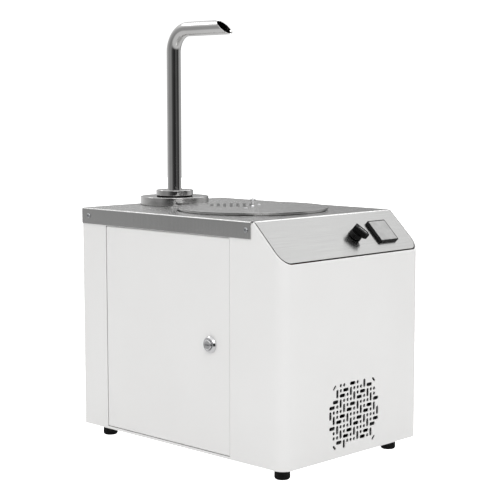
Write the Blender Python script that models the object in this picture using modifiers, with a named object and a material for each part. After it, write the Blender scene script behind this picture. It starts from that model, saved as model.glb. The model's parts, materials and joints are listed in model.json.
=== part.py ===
import math

import bmesh
import bpy
from mathutils import Matrix, Vector

# Driving dimensions, in metres.
CABINET_W = 0.2488
CABINET_D = 0.3535
CABINET_H = 0.2820
CORNER_R = 0.0150
FOOT_H = 0.0165
FOOT_R = 0.0094
SHEET = 0.0012
COVER_SHEET = 0.0010
COVER_HALF_W = 0.1255
COVER_FLANGE = 0.0200
GAP = 0.0003

SLOPE_RUN = 0.0484
SLOPE_DROP = 0.0477
PANEL_INSET = 0.0029
FOLD_RELIEF = 0.0030

LID_Y = -0.0073
LID_R = 0.0953
LID_T = 0.0020
TANK_R = 0.0855
TANK_DEPTH = 0.1060
DRAIN_Y = 0.0310
DRAIN_R = 0.0300
DRAIN_PITCH = 0.0083

SPOUT_X = -0.0040
SPOUT_Y = 0.1333
SPOUT_R = 0.00925
SPOUT_WALL = 0.0010
SPOUT_RUN_Z = 0.5100
SPOUT_BEND_R = 0.0290
SPOUT_TOP_LIP = 0.0830
SPOUT_LOW_LIP = 0.1060
BASE_R = 0.0450
BASE_T = 0.0105
COLLAR_R = 0.0245
COLLAR_T = 0.0070
SEAL_T = 0.0007

RISER_R = 0.0230
RISER_WALL = 0.0015
AUGER_R = 0.0212
AUGER_SHAFT_R = 0.0050

DOOR_Y0 = 0.0865
DOOR_Y1 = 0.3063
DOOR_Z0 = 0.0034
DOOR_Z1 = 0.2610
DOOR_GAP = 0.0006
DOOR_HINGE_GAP = 0.0014
DOOR_FLANGE = 0.0120
HINGE_INSET_X = 0.0060
HINGE_INSET_Y = 0.0120
LOCK_Y = 0.1184
LOCK_Z = 0.1327

VENT_X = -0.0016
VENT_Z = 0.0490
VENT_PITCH = 0.00615
VENT_SLOT_R = 0.0022
FAN_PITCH = 0.0715
FAN_SIZE = 0.0800
FAN_T = 0.0250

KNOB_X = 0.0245
KNOB_T = 0.0355
KNOB_TURN = math.radians(-62)
SWITCH_X = 0.0758
SWITCH_T = 0.0343
SWITCH_W = 0.0330
SWITCH_L = 0.0325

HALF_W = CABINET_W / 2
FRONT = -CABINET_D / 2
REAR = CABINET_D / 2
BASE = FOOT_H
TOP = FOOT_H + CABINET_H
SLOPE_ANGLE = math.atan2(SLOPE_DROP, SLOPE_RUN)
AXIS_Z = Matrix.Identity(4)
AXIS_X = Matrix.Rotation(math.pi / 2, 4, "Y")

for old in list(bpy.context.scene.objects):
    bpy.data.objects.remove(old, do_unlink=True)

parts = bpy.data.collections.new("sauce_dispenser")
bpy.context.scene.collection.children.link(parts)
cutters = bpy.data.collections.new("cutters")
bpy.context.scene.collection.children.link(cutters)
materials = {}


# Materials.
def add_material(name, colour, roughness, metallic):
    material = bpy.data.materials.new(name)
    material.use_nodes = True
    shader = material.node_tree.nodes["Principled BSDF"]
    shader.inputs["Base Color"].default_value = (*colour, 1.0)
    shader.inputs["Roughness"].default_value = roughness
    shader.inputs["Metallic"].default_value = metallic
    materials[name] = material


def white_powder_coat():
    add_material("white_powder_coat", (0.82, 0.82, 0.81), 0.45, 0.0)


def brushed_steel():
    add_material("brushed_steel", (0.60, 0.60, 0.59), 0.32, 1.0)


def polished_steel():
    add_material("polished_steel", (0.68, 0.68, 0.67), 0.10, 1.0)


def chrome():
    add_material("chrome", (0.75, 0.75, 0.76), 0.08, 1.0)


def zinc_steel():
    add_material("zinc_steel", (0.55, 0.56, 0.58), 0.40, 1.0)


def black_rubber():
    add_material("black_rubber", (0.022, 0.022, 0.022), 0.70, 0.0)


def black_plastic():
    add_material("black_plastic", (0.018, 0.018, 0.019), 0.38, 0.0)


def light_plastic():
    add_material("light_plastic", (0.60, 0.60, 0.60), 0.30, 0.0)


def clear_silicone():
    add_material("clear_silicone", (0.72, 0.72, 0.72), 0.15, 0.0)


def red_silicone():
    add_material("red_silicone", (0.45, 0.06, 0.03), 0.60, 0.0)


def green_board():
    add_material("green_board", (0.02, 0.16, 0.07), 0.50, 0.0)


def anodised_aluminium():
    add_material("anodised_aluminium", (0.55, 0.56, 0.57), 0.45, 1.0)


for make_material in (
    white_powder_coat,
    brushed_steel,
    polished_steel,
    chrome,
    zinc_steel,
    black_rubber,
    black_plastic,
    light_plastic,
    clear_silicone,
    red_silicone,
    green_board,
    anodised_aluminium,
):
    make_material()


# Building helpers.
def new_object(name, mesh, material):
    obj = bpy.data.objects.new(name, mesh)
    if material is None:
        cutters.objects.link(obj)
        obj.hide_render = True
        obj.display_type = "WIRE"
    else:
        parts.objects.link(obj)
        obj.data.materials.append(materials[material])
    return obj


def mesh_from_bmesh(name, bm):
    bmesh.ops.recalc_face_normals(bm, faces=bm.faces)
    mesh = bpy.data.meshes.new(name)
    bm.to_mesh(mesh)
    bm.free()
    return mesh


def smooth(obj, angle=35.0):
    for polygon in obj.data.polygons:
        polygon.use_smooth = True
    obj.data.set_sharp_from_angle(angle=math.radians(angle))


def soften(obj, width, segments=1):
    bevel = obj.modifiers.new("edge", "BEVEL")
    bevel.width = width
    bevel.segments = segments
    bevel.limit_method = "ANGLE"
    bevel.angle_limit = math.radians(50)


def cut(obj, cutter, operation="DIFFERENCE"):
    boolean = obj.modifiers.new(cutter.name, "BOOLEAN")
    boolean.operation = operation
    boolean.solver = "EXACT"
    boolean.object = cutter


def box(name, material, low, high):
    bm = bmesh.new()
    bmesh.ops.create_cube(bm, size=1.0)
    size = Vector(high) - Vector(low)
    centre = (Vector(high) + Vector(low)) / 2
    bmesh.ops.scale(bm, vec=size, verts=bm.verts)
    bmesh.ops.translate(bm, vec=centre, verts=bm.verts)
    return new_object(name, mesh_from_bmesh(name, bm), material)


def rod(name, material, radius, start, end, sides=24, axis=AXIS_Z):
    bm = bmesh.new()
    bmesh.ops.create_cone(
        bm, cap_ends=True, segments=sides, radius1=radius, radius2=radius, depth=end - start
    )
    bmesh.ops.translate(bm, vec=(0, 0, (start + end) / 2), verts=bm.verts)
    bmesh.ops.transform(bm, matrix=axis, verts=bm.verts)
    return new_object(name, mesh_from_bmesh(name, bm), material)


def turned(name, material, profile, steps=32, closed=False):
    mesh = bpy.data.meshes.new(name)
    count = len(profile)
    edges = [(i, i + 1) for i in range(count - 1)]
    if closed:
        edges.append((count - 1, 0))
    mesh.from_pydata([(radius, 0, height) for radius, height in profile], edges, [])
    obj = new_object(name, mesh, material)
    screw = obj.modifiers.new("turn", "SCREW")
    screw.angle = math.tau
    screw.steps = steps
    screw.render_steps = steps
    screw.use_merge_vertices = True
    screw.merge_threshold = 0.00001
    screw.use_smooth_shade = True
    return obj


def rounded_outline(half_x, half_y, radius, steps=4):
    points = []
    corners = ((1, 1, 0), (-1, 1, 90), (-1, -1, 180), (1, -1, 270))
    for sign_x, sign_y, start in corners:
        for i in range(steps + 1):
            angle = math.radians(start + 90 * i / steps)
            points.append(
                (
                    sign_x * (half_x - radius) + radius * math.cos(angle),
                    sign_y * (half_y - radius) + radius * math.sin(angle),
                )
            )
    return points


def plate(name, material, outlines, low, high):
    curve = bpy.data.curves.new(name, "CURVE")
    curve.dimensions = "2D"
    curve.fill_mode = "BOTH"
    curve.extrude = (high - low) / 2
    for outline in outlines:
        spline = curve.splines.new("POLY")
        spline.points.add(len(outline) - 1)
        for point, (x, y) in zip(spline.points, outline):
            point.co = (x, y, 0, 1)
        spline.use_cyclic_u = True
    return curve_to_mesh(name, material, curve, Matrix.Translation((0, 0, (low + high) / 2)))


def curve_to_mesh(name, material, curve, matrix):
    source = bpy.data.objects.new(name + "_curve", curve)
    bpy.context.scene.collection.objects.link(source)
    graph = bpy.context.evaluated_depsgraph_get()
    mesh = bpy.data.meshes.new_from_object(source.evaluated_get(graph))
    bpy.data.objects.remove(source, do_unlink=True)
    bm = bmesh.new()
    bm.from_mesh(mesh)
    bmesh.ops.remove_doubles(bm, verts=bm.verts, dist=0.000001)
    bmesh.ops.transform(bm, matrix=matrix, verts=bm.verts)
    bpy.data.meshes.remove(mesh)
    return new_object(name, mesh_from_bmesh(name, bm), material)


def round_path(points, radius, steps=5):
    path = [Vector(points[0])]
    for before, corner, after in zip(points, points[1:], points[2:]):
        corner = Vector(corner)
        towards = (Vector(before) - corner).normalized()
        away = (Vector(after) - corner).normalized()
        half = towards.angle(away) / 2
        trim = radius / math.tan(half)
        centre = corner + (towards + away).normalized() * (radius / math.sin(half))
        first = (corner + towards * trim - centre).normalized()
        last = (corner + away * trim - centre).normalized()
        for i in range(steps + 1):
            path.append(centre + first.slerp(last, i / steps) * radius)
    path.append(Vector(points[-1]))
    return path


def wire(name, material, points, radius, sides=2, capped=True):
    curve = bpy.data.curves.new(name, "CURVE")
    curve.dimensions = "3D"
    curve.bevel_depth = radius
    curve.bevel_resolution = sides
    curve.use_fill_caps = capped
    spline = curve.splines.new("POLY")
    spline.points.add(len(points) - 1)
    for point, place in zip(spline.points, points):
        point.co = (*place, 1)
    obj = curve_to_mesh(name, material, curve, Matrix.Identity(4))
    smooth(obj, 50)
    return obj


def pipe(name, material, points, radius, wall, sides=4):
    obj = wire(name, material, points, radius, sides, capped=False)
    solid = obj.modifiers.new("wall", "SOLIDIFY")
    solid.thickness = wall
    solid.offset = -1
    return obj


def join_cutters(name, pieces, matrix=AXIS_Z):
    bm = bmesh.new()
    for piece in pieces:
        bm.from_mesh(piece.data)
        bpy.data.objects.remove(piece, do_unlink=True)
    bmesh.ops.transform(bm, matrix=matrix, verts=bm.verts)
    return new_object(name, mesh_from_bmesh(name, bm), None)


def place(obj, x, y, z, axis=AXIS_Z):
    obj.matrix_world = Matrix.Translation((x, y, z)) @ axis
    return obj


def pivot(name, x, y, z, axis=AXIS_Z):
    empty = bpy.data.objects.new(name, None)
    empty.empty_display_size = 0.02
    parts.objects.link(empty)
    empty.matrix_world = Matrix.Translation((x, y, z)) @ axis
    return empty


def slope_z(y):
    return TOP - SLOPE_DROP * (1 - (y - FRONT) / SLOPE_RUN)


def oblong(centre_x, centre_y, half_length, radius, angle=0.0, steps=2):
    points = []
    for end in (0, 1):
        for i in range(steps + 1):
            turn = math.pi * (end + i / steps) - math.pi / 2
            x = (half_length if end == 0 else -half_length) + radius * math.cos(turn)
            y = radius * math.sin(turn)
            points.append(
                (
                    centre_x + x * math.cos(angle) - y * math.sin(angle),
                    centre_y + x * math.sin(angle) + y * math.cos(angle),
                )
            )
    return points


def disc(centre_x, centre_y, radius, sides=6, phase=0.0):
    return [
        (
            centre_x + radius * math.cos(math.tau * i / sides + phase),
            centre_y + radius * math.sin(math.tau * i / sides + phase),
        )
        for i in range(sides)
    ]


# Sheet-metal cabinet.
def vent_outlines():
    outlines = []
    extra_dots = ((-4, 6), (6, 4), (-6, -4))
    for row in range(12):
        for column in range(15):
            kind = (column + 8 * row) % 13
            u = column - 7
            v = 6 - row
            x = u * VENT_PITCH
            z = v * VENT_PITCH
            half = VENT_PITCH / 2
            if kind in (6, 12) and math.hypot(u + 0.5, v) < 6.9:
                outlines.append(oblong(x + half, z, half, VENT_SLOT_R))
            elif kind in (1, 10) and math.hypot(u, v - 0.5) < 7.05:
                outlines.append(oblong(x, z - half, half, VENT_SLOT_R, math.pi / 2))
            elif kind in (2, 3, 4, 8, 11) and (math.hypot(u, v) < 6.75 or (u, v) in extra_dots):
                outlines.append(disc(x, z, VENT_SLOT_R, 6, math.pi / 6))
    for sign_x in (-1, 1):
        for sign_z in (-1, 1):
            lean = -sign_x * sign_z * math.pi / 4
            outlines.append(
                oblong(sign_x * FAN_PITCH / 2, sign_z * FAN_PITCH / 2, 0.0021, 0.0015, lean)
            )
    return outlines


def vent_cutter():
    pieces = [
        plate("slot", "chrome", [outline], -0.004, 0.004) for outline in vent_outlines()
    ]
    turn = Matrix.Translation((VENT_X, FRONT, BASE + VENT_Z)) @ Matrix.Rotation(math.pi / 2, 4, "X")
    return join_cutters("vent_cutter", pieces, turn)


def shell_outline(inset):
    radius = CORNER_R - inset
    half = HALF_W - inset
    relief = FRONT + SLOPE_RUN + FOLD_RELIEF
    points = [
        (-half, REAR), (-half, relief), (-half, relief - 0.0005), (-half, FRONT + SLOPE_RUN),
    ]
    for i in range(7):
        angle = math.radians(180 + 15 * i)
        points.append(
            (
                -HALF_W + CORNER_R + radius * math.cos(angle),
                FRONT + CORNER_R + radius * math.sin(angle),
            )
        )
    return points + [(-x, y) for x, y in reversed(points)]


def body_shell():
    bm = bmesh.new()
    columns = []
    for x, y in shell_outline(0.0):
        limit = TOP - (0.0046 if y > FRONT + SLOPE_RUN + FOLD_RELIEF - 0.0001 else 0.0016)
        top = min(slope_z(y), limit)
        columns.append((bm.verts.new((x, y, BASE)), bm.verts.new((x, y, top))))
    for left, right in zip(columns, columns[1:]):
        bm.faces.new((left[0], right[0], right[1], left[1]))
    mesh = bpy.data.meshes.new("body_shell")
    bm.normal_update()
    bm.to_mesh(mesh)
    bm.free()
    obj = new_object("body_shell", mesh, "white_powder_coat")
    solid = obj.modifiers.new("sheet", "SOLIDIFY")
    solid.thickness = SHEET
    solid.offset = -1
    cut(obj, vent_cutter())
    door_hole = box(
        "door_hole",
        None,
        (-HALF_W - 0.01, FRONT + DOOR_Y0 - DOOR_GAP, BASE + DOOR_Z0 - DOOR_GAP),
        (-HALF_W + 0.01, FRONT + DOOR_Y1 + DOOR_HINGE_GAP, BASE + DOOR_Z1 + DOOR_GAP),
    )
    cut(obj, door_hole)
    cut(obj, cover_screw_holes())
    smooth(obj)
    return obj


def cover_screw_places():
    for side in (-1, 1):
        for y in (FRONT + 0.0585, FRONT + 0.3400):
            yield side, y, TOP - 0.0100


def cover_screw_holes():
    pieces = []
    for side, y, z in cover_screw_places():
        hole = rod("hole", "chrome", 0.0019, -0.006, 0.006, 10, AXIS_X)
        hole.data.transform(Matrix.Translation((side * HALF_W, y, z)))
        pieces.append(hole)
    return join_cutters("cover_screw_holes", pieces)


def base_pan():
    half = HALF_W - SHEET - GAP
    radius = CORNER_R - SHEET - GAP
    rear = REAR - SHEET - GAP
    front = FRONT + SHEET + GAP
    outline = [(-half, rear)]
    for i in range(7):
        angle = math.radians(180 + 15 * i)
        outline.append(
            (-half + radius * (1 + math.cos(angle)), front + radius * (1 + math.sin(angle)))
        )
    outline += [(-x, y) for x, y in reversed(outline)]
    bm = bmesh.new()
    floor = [bm.verts.new((x, y, BASE)) for x, y in outline]
    bm.faces.new(floor)
    walled = range(8, len(outline))
    wall = {i: bm.verts.new((*outline[i], BASE + 0.014)) for i in walled}
    for i, j in zip(walled, list(walled)[1:]):
        bm.faces.new((floor[i], floor[j], wall[j], wall[i]))
    mesh = mesh_from_bmesh("base_pan", bm)
    obj = new_object("base_pan", mesh, "white_powder_coat")
    solid = obj.modifiers.new("sheet", "SOLIDIFY")
    solid.thickness = 0.0015
    solid.offset = -1
    holes = []
    for x, y in foot_places():
        hole = rod("hole", "chrome", 0.0040, -0.01, 0.01, 16)
        hole.data.transform(Matrix.Translation((x, y, BASE)))
        holes.append(hole)
    pin = rod("hole", "chrome", 0.0024, -0.01, 0.01, 12)
    pin.data.transform(Matrix.Translation((hinge_x(), hinge_y(), BASE)))
    holes.append(pin)
    cut(obj, join_cutters("pan_holes", holes))
    return obj


def rear_panel():
    half = HALF_W - SHEET - GAP
    obj = box(
        "rear_panel",
        "white_powder_coat",
        (-half, REAR - SHEET, BASE + 0.0018),
        (half, REAR, TOP - COVER_SHEET - GAP),
    )
    pieces = [
        plate("slot", "chrome", [oblong(x, z, 0.0140, 0.0015)], -0.004, 0.004)
        for x in (-0.062, 0.0)
        for z in (0.0, 0.009, 0.018, 0.027, 0.036)
    ]
    pieces.append(plate("slot", "chrome", [rounded_outline(0.0141, 0.0102, 0.0015, 2)], -0.004, 0.004))
    for piece in pieces[:-1]:
        piece.data.transform(Matrix.Translation((0.031, 0, 0)))
    pieces[-1].data.transform(Matrix.Translation((0.080, 0.018, 0)))
    turn = Matrix.Translation((0, REAR, BASE + 0.040)) @ Matrix.Rotation(math.pi / 2, 4, "X")
    cut(obj, join_cutters("rear_slots", pieces, turn))
    return obj


def top_cover():
    half = HALF_W - PANEL_INSET
    radius = CORNER_R - PANEL_INSET
    fold = FRONT + SLOPE_RUN
    low = FRONT + PANEL_INSET
    bm = bmesh.new()
    corner = []
    for i in range(7):
        angle = math.radians(180 + 15 * i)
        x = -half + radius * (1 + math.cos(angle))
        y = low + radius * (1 + math.sin(angle))
        corner.append((x, y))
    lower = corner + [(-x, y) for x, y in reversed(corner)]
    slope = [bm.verts.new((x, y, slope_z(y))) for x, y in lower]
    fold_left = bm.verts.new((-half, fold, TOP))
    fold_right = bm.verts.new((half, fold, TOP))
    bm.faces.new([fold_left] + slope + [fold_right])
    top = {}
    for side in (-1, 1):
        for name, y, z in (
            ("front", fold + FOLD_RELIEF, TOP),
            ("rear", REAR, TOP),
            ("low_front", fold + FOLD_RELIEF, TOP - COVER_FLANGE),
            ("low_rear", REAR, TOP - COVER_FLANGE),
        ):
            top[side, name] = bm.verts.new((side * COVER_HALF_W, y, z))
        bm.faces.new([top[side, n] for n in ("front", "rear", "low_rear", "low_front")])
    relief_left = bm.verts.new((-half, fold + FOLD_RELIEF, TOP))
    relief_right = bm.verts.new((half, fold + FOLD_RELIEF, TOP))
    bm.faces.new(
        (
            top[-1, "front"], relief_left, fold_left, fold_right, relief_right, top[1, "front"],
            top[1, "rear"], top[-1, "rear"],
        )
    )
    bmesh.ops.recalc_face_normals(bm, faces=bm.faces)
    bends = [
        edge
        for edge in bm.edges
        if len(edge.link_faces) == 2 and edge.calc_length() > 0.1
    ]
    bmesh.ops.bevel(bm, geom=bends, offset=0.0022, segments=3, affect="EDGES", profile=0.5)
    obj = new_object("top_cover", mesh_from_bmesh("top_cover", bm), "brushed_steel")
    if max(polygon.normal.z for polygon in obj.data.polygons) < 0.9:
        obj.data.flip_normals()
    solid = obj.modifiers.new("sheet", "SOLIDIFY")
    solid.thickness = COVER_SHEET
    solid.offset = -1
    holes = [
        rod("hole", "chrome", TANK_R + 0.0006, -0.01, 0.01, 48),
        rod("hole", "chrome", RISER_R + 0.0012, -0.01, 0.01, 32),
    ]
    holes[0].data.transform(Matrix.Translation((0, LID_Y, TOP)))
    holes[1].data.transform(Matrix.Translation((SPOUT_X, SPOUT_Y, TOP)))
    slope_frame = slope_matrix()
    pot = rod("hole", "chrome", 0.0038, -0.01, 0.01, 16)
    pot.data.transform(slope_frame @ Matrix.Translation((KNOB_X, -KNOB_T, 0)))
    holes.append(pot)
    window = box("hole", "chrome", (-0.0143, -0.0130, -0.01), (0.0143, 0.0130, 0.01))
    window.data.transform(slope_frame @ Matrix.Translation((SWITCH_X, -SWITCH_T, 0)))
    holes.append(window)
    cut(obj, join_cutters("cover_holes", holes))
    cut(obj, bpy.data.objects["cover_screw_holes"])
    smooth(obj, 25)
    return obj


def cover_screws():
    names = ("cover_screw_fl", "cover_screw_rl", "cover_screw_fr", "cover_screw_rr")
    mesh = None
    for name, (side, y, z) in zip(names, cover_screw_places()):
        profile = [
            (0, 0.0018), (0.0014, 0.0017), (0.0025, 0.0012), (0.0030, 0.0003), (0.0030, 0.0),
            (0.0015, 0.0), (0.0015, -0.0080), (0, -0.0080),
        ]
        obj = turned(name, "zinc_steel", profile, 8)
        if mesh is None:
            mesh = obj.data
        else:
            obj.data = mesh
        turn = AXIS_X if side > 0 else Matrix.Rotation(-math.pi / 2, 4, "Y")
        place(obj, side * (COVER_HALF_W + 0.0001), y, z, turn)


def foot_places():
    front = FRONT + 0.0275
    rear = REAR - 0.0180
    x = HALF_W - 0.0270
    return ((-x, front), (x, front), (-x, rear), (x, rear))


def feet():
    profile = [
        (0, 0.0205), (0.0030, 0.0205), (0.0048, 0.0190), (0.0048, 0.0183), (0.0036, 0.0183),
        (0.0036, 0.0162), (FOOT_R - 0.0003, 0.0162), (FOOT_R, 0.0024), (FOOT_R - 0.0018, 0.0),
        (0, 0.0),
    ]
    mesh = None
    for name, (x, y) in zip(("foot_fl", "foot_fr", "foot_rl", "foot_rr"), foot_places()):
        obj = turned(name, "black_rubber", profile, 12)
        if mesh is None:
            mesh = obj.data
        else:
            obj.data = mesh
        place(obj, x, y, 0)


# Side door with its hinge and lock.
def hinge_x():
    return -HALF_W + HINGE_INSET_X


def hinge_y():
    return FRONT + DOOR_Y1 - HINGE_INSET_Y


def side_door(hinge):
    y0 = FRONT + DOOR_Y0
    y1 = FRONT + DOOR_Y1
    z0 = BASE + DOOR_Z0
    z1 = BASE + DOOR_Z1
    x0 = -HALF_W
    bm = bmesh.new()
    rows = (
        (x0 + DOOR_FLANGE, z0), (x0, z0), (x0, z1), (x0 + DOOR_FLANGE, z1),
    )
    front = [bm.verts.new((x, y0, z)) for x, z in rows]
    rear = [bm.verts.new((x, y1, z)) for x, z in rows]
    for i in range(3):
        bm.faces.new((front[i], front[i + 1], rear[i + 1], rear[i]))
    mesh = mesh_from_bmesh("side_door", bm)
    obj = new_object("side_door", mesh, "white_powder_coat")
    if min(polygon.normal.x for polygon in mesh.polygons) > -0.9:
        mesh.flip_normals()
    solid = obj.modifiers.new("sheet", "SOLIDIFY")
    solid.thickness = SHEET
    solid.offset = -1
    lock_hole = rod("hole", "chrome", 0.0081, -0.01, 0.01, 24, AXIS_X)
    lock_hole.data.transform(Matrix.Translation((x0, FRONT + LOCK_Y, BASE + LOCK_Z)))
    pins = rod("hole", "chrome", 0.0024, -0.01, 0.30, 12)
    pins.data.transform(Matrix.Translation((hinge_x(), hinge_y(), BASE)))
    cut(obj, join_cutters("door_holes", [lock_hole, pins]))
    hold_place(obj, hinge)
    return obj


def hold_place(obj, parent):
    world = obj.matrix_world.copy()
    obj.parent = parent
    obj.matrix_parent_inverse = parent.matrix_world.inverted()
    obj.matrix_world = world
    return obj


def door_pins(hinge):
    upper = turned(
        "door_pin_upper",
        "zinc_steel",
        [
            (0, 0.0080), (0.0016, 0.0080), (0.0021, 0.0074), (0.0021, 0.0), (0.0042, 0.0),
            (0.0042, -0.0016), (0, -0.0016),
        ],
        14,
    )
    place(upper, hinge_x(), hinge_y(), BASE + DOOR_Z1 - SHEET - GAP)
    hold_place(upper, hinge)
    lower = turned(
        "door_pin_lower",
        "zinc_steel",
        [
            (0, 0.0016), (0.0042, 0.0016), (0.0042, 0.0), (0.0021, 0.0), (0.0021, -0.0040),
            (0.0016, -0.0046), (0, -0.0046),
        ],
        14,
    )
    place(lower, hinge_x(), hinge_y(), BASE + DOOR_Z0 + SHEET + GAP)
    hold_place(lower, hinge)


def hinge_bracket():
    z = BASE + DOOR_Z1 + 0.0020
    x0 = -HALF_W + SHEET + GAP
    y0 = hinge_y() - 0.010
    y1 = hinge_y() + 0.010
    bm = bmesh.new()
    rows = ((x0 + 0.014, z), (x0, z), (x0, z + 0.0105))
    front = [bm.verts.new((x, y0, height)) for x, height in rows]
    rear = [bm.verts.new((x, y1, height)) for x, height in rows]
    for i in range(2):
        bm.faces.new((front[i], front[i + 1], rear[i + 1], rear[i]))
    mesh = mesh_from_bmesh("hinge_bracket", bm)
    obj = new_object("hinge_bracket", mesh, "zinc_steel")
    if min(polygon.normal.x for polygon in mesh.polygons) > -0.9:
        mesh.flip_normals()
    solid = obj.modifiers.new("sheet", "SOLIDIFY")
    solid.thickness = 0.0015
    solid.offset = -1
    hole = rod("bracket_hole", None, 0.0024, -0.01, 0.02, 12)
    hole.data.transform(Matrix.Translation((hinge_x(), hinge_y(), z)))
    cut(obj, hole)
    return obj


def lock(hinge):
    x = -HALF_W
    y = FRONT + LOCK_Y
    z = BASE + LOCK_Z
    outward = Matrix.Rotation(-math.pi / 2, 4, "Y")
    barrel = turned(
        "lock_barrel",
        "chrome",
        [
            (0.0060, 0.0034), (0.0070, 0.0040), (0.0085, 0.0036), (0.0103, 0.0014),
            (0.0103, 0.0003), (0.0078, 0.0003), (0.0078, -0.0130), (0.0060, -0.0130),
        ],
        24,
        closed=True,
    )
    hold_place(place(barrel, x, y, z, outward), hinge)
    nut = turned(
        "lock_nut",
        "zinc_steel",
        [(0.0094, -0.0016), (0.0125, -0.0016), (0.0125, -0.0050), (0.0094, -0.0050)],
        6,
        closed=True,
    )
    nut.modifiers["turn"].use_smooth_shade = False
    hold_place(place(nut, x, y, z, outward), hinge)
    plug_axis = pivot("lock_plug_axis", x, y, z, outward)
    hold_place(plug_axis, hinge)
    core = turned(
        "lock_core",
        "chrome",
        [(0, 0.0052), (0.0050, 0.0052), (0.0057, 0.0046), (0.0057, -0.0152), (0, -0.0152)],
        24,
    )
    key = box("key_slot", None, (-0.0006, -0.0032, 0.0020), (0.0006, 0.0032, 0.0080))
    cut(core, key)
    place(core, x, y, z, outward)
    place(key, x, y, z, outward)
    hold_place(core, plug_axis)
    hold_place(key, plug_axis)
    arm = [
        (-0.0090, -0.0175), (0.0200, -0.0175), (0.0330, -0.0035), (0.0430, -0.0035),
        (0.0430, -0.0018), (0.0322, -0.0018), (0.0192, -0.0155), (-0.0090, -0.0155),
    ]
    cam = plate("lock_cam", "zinc_steel", [arm], -0.0055, 0.0055)
    cam.data.transform(Matrix.Rotation(math.pi / 2, 4, "X"))
    place(cam, x, y, z, outward)
    hold_place(cam, plug_axis)


# Tank under its lift-off lid.
def tank():
    inner = TANK_R - 0.0012
    lip = TOP + GAP
    low = TOP - TANK_DEPTH
    bend = 0.010
    arc_out = [
        (TANK_R - bend + bend * math.cos(a), low + bend - bend * math.sin(a))
        for a in (math.radians(22.5 * i) for i in range(5))
    ]
    arc_in = [
        (inner - (bend - 0.0012) * (1 - math.cos(a)), low + bend - (bend - 0.0012) * math.sin(a))
        for a in (math.radians(22.5 * i) for i in range(5))
    ]
    inside = [(0, low + 0.0012)] + list(reversed(arc_in)) + [(inner, lip + 0.0010)]
    outside = [(0.0920, lip + 0.0010), (0.0920, lip), (TANK_R, lip)] + arc_out + [(0, low)]
    obj = turned("tank", "polished_steel", inside + outside, 32)
    place(obj, 0, LID_Y, 0)
    outlet = rod("outlet_hole", None, 0.0093, low - 0.01, low + 0.01, 20)
    place(outlet, 0, LID_Y + 0.040, 0)
    cut(obj, outlet)
    return obj


def tank_lid(lift):
    bottom = TOP + 0.0016
    top = bottom + LID_T
    profile = [
        (0, top), (LID_R - 0.0006, top), (LID_R, top - 0.0006), (LID_R, bottom),
        (0.0838, bottom), (0.0838, bottom - 0.0060), (0.0826, bottom - 0.0060),
        (0.0826, bottom), (0, bottom),
    ]
    obj = turned("tank_lid", "brushed_steel", profile, 40)
    place(obj, 0, LID_Y, 0)
    holes = []
    reach = int(DRAIN_R / DRAIN_PITCH) + 1
    for i in range(-reach, reach + 1):
        for j in range(-reach, reach + 1):
            x = (i - j) * DRAIN_PITCH * math.sqrt(0.5)
            y = (i + j) * DRAIN_PITCH * math.sqrt(0.5)
            if math.hypot(x, y) > DRAIN_R:
                continue
            holes.append(plate("hole", "chrome", [disc(x, y, 0.0023, 5)], -0.005, 0.005))
    screws = [rod("hole", "chrome", 0.0013, -0.005, 0.005, 8) for _ in range(3)]
    screws[0].data.transform(Matrix.Translation((0, LID_Y - DRAIN_Y, 0)))
    for screw, (x, y) in zip(screws[1:], rivet_places()):
        screw.data.transform(Matrix.Translation((x, y - DRAIN_Y, 0)))
    field = Matrix.Translation((0, DRAIN_Y, top))
    cutter = join_cutters("drain_holes", holes + screws, field)
    cut(obj, cutter)
    hold_place(obj, lift)
    hold_place(cutter, lift)
    return obj


def rivet_places():
    return ((-0.0270, LID_Y - 0.0150), (0.0270, LID_Y + 0.0150))


def lid_hardware(lift):
    top = TOP + 0.0016 + LID_T
    knob = turned(
        "lid_knob",
        "chrome",
        [
            (0, 0.0108), (0.0024, 0.0107), (0.0036, 0.0098), (0.0038, 0.0085), (0.0026, 0.0058),
            (0.0019, 0.0026), (0.0028, 0.0003), (0.0010, 0.0003), (0.0010, -0.0050), (0, -0.0050),
        ],
        16,
    )
    place(knob, 0, LID_Y, top)
    hold_place(knob, lift)
    for name, (x, y) in zip(("lid_rivet_left", "lid_rivet_right"), rivet_places()):
        rivet = turned(
            name,
            "chrome",
            [
                (0, 0.0014), (0.0014, 0.0012), (0.0022, 0.0003), (0.0010, 0.0003),
                (0.0010, -0.0032), (0, -0.0032),
            ],
            12,
        )
        place(rivet, x, y, top)
        hold_place(rivet, lift)


def tank_heater():
    obj = turned(
        "tank_heater",
        "red_silicone",
        [
            (TANK_R + 0.0003, TOP - 0.040), (TANK_R + 0.0018, TOP - 0.040),
            (TANK_R + 0.0018, TOP - 0.080), (TANK_R + 0.0003, TOP - 0.080),
        ],
        32,
        closed=True,
    )
    place(obj, 0, LID_Y, 0)
    return obj


def tank_sensor():
    low = TOP - TANK_DEPTH - GAP
    obj = turned(
        "tank_sensor",
        "zinc_steel",
        [
            (0, low), (0.0090, low), (0.0090, low - 0.0050), (0.0060, low - 0.0060),
            (0.0060, low - 0.0110), (0, low - 0.0110),
        ],
        16,
    )
    place(obj, -0.034, LID_Y - 0.020, 0)
    return obj


# Screw pump, its drive and the spout.
def spout_base():
    low = TOP + GAP
    obj = turned(
        "spout_base",
        "polished_steel",
        [
            (0.0098, low + BASE_T), (BASE_R - 0.0010, low + BASE_T),
            (BASE_R, low + BASE_T - 0.0010), (BASE_R, low + 0.0008), (BASE_R - 0.0008, low),
            (RISER_R - 0.0018, low), (RISER_R - 0.0018, low - 0.0120), (0.0180, low - 0.0120),
            (0.0180, low), (0.0098, low + 0.0040),
        ],
        32,
        closed=True,
    )
    place(obj, SPOUT_X, SPOUT_Y, 0)
    return obj


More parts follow.
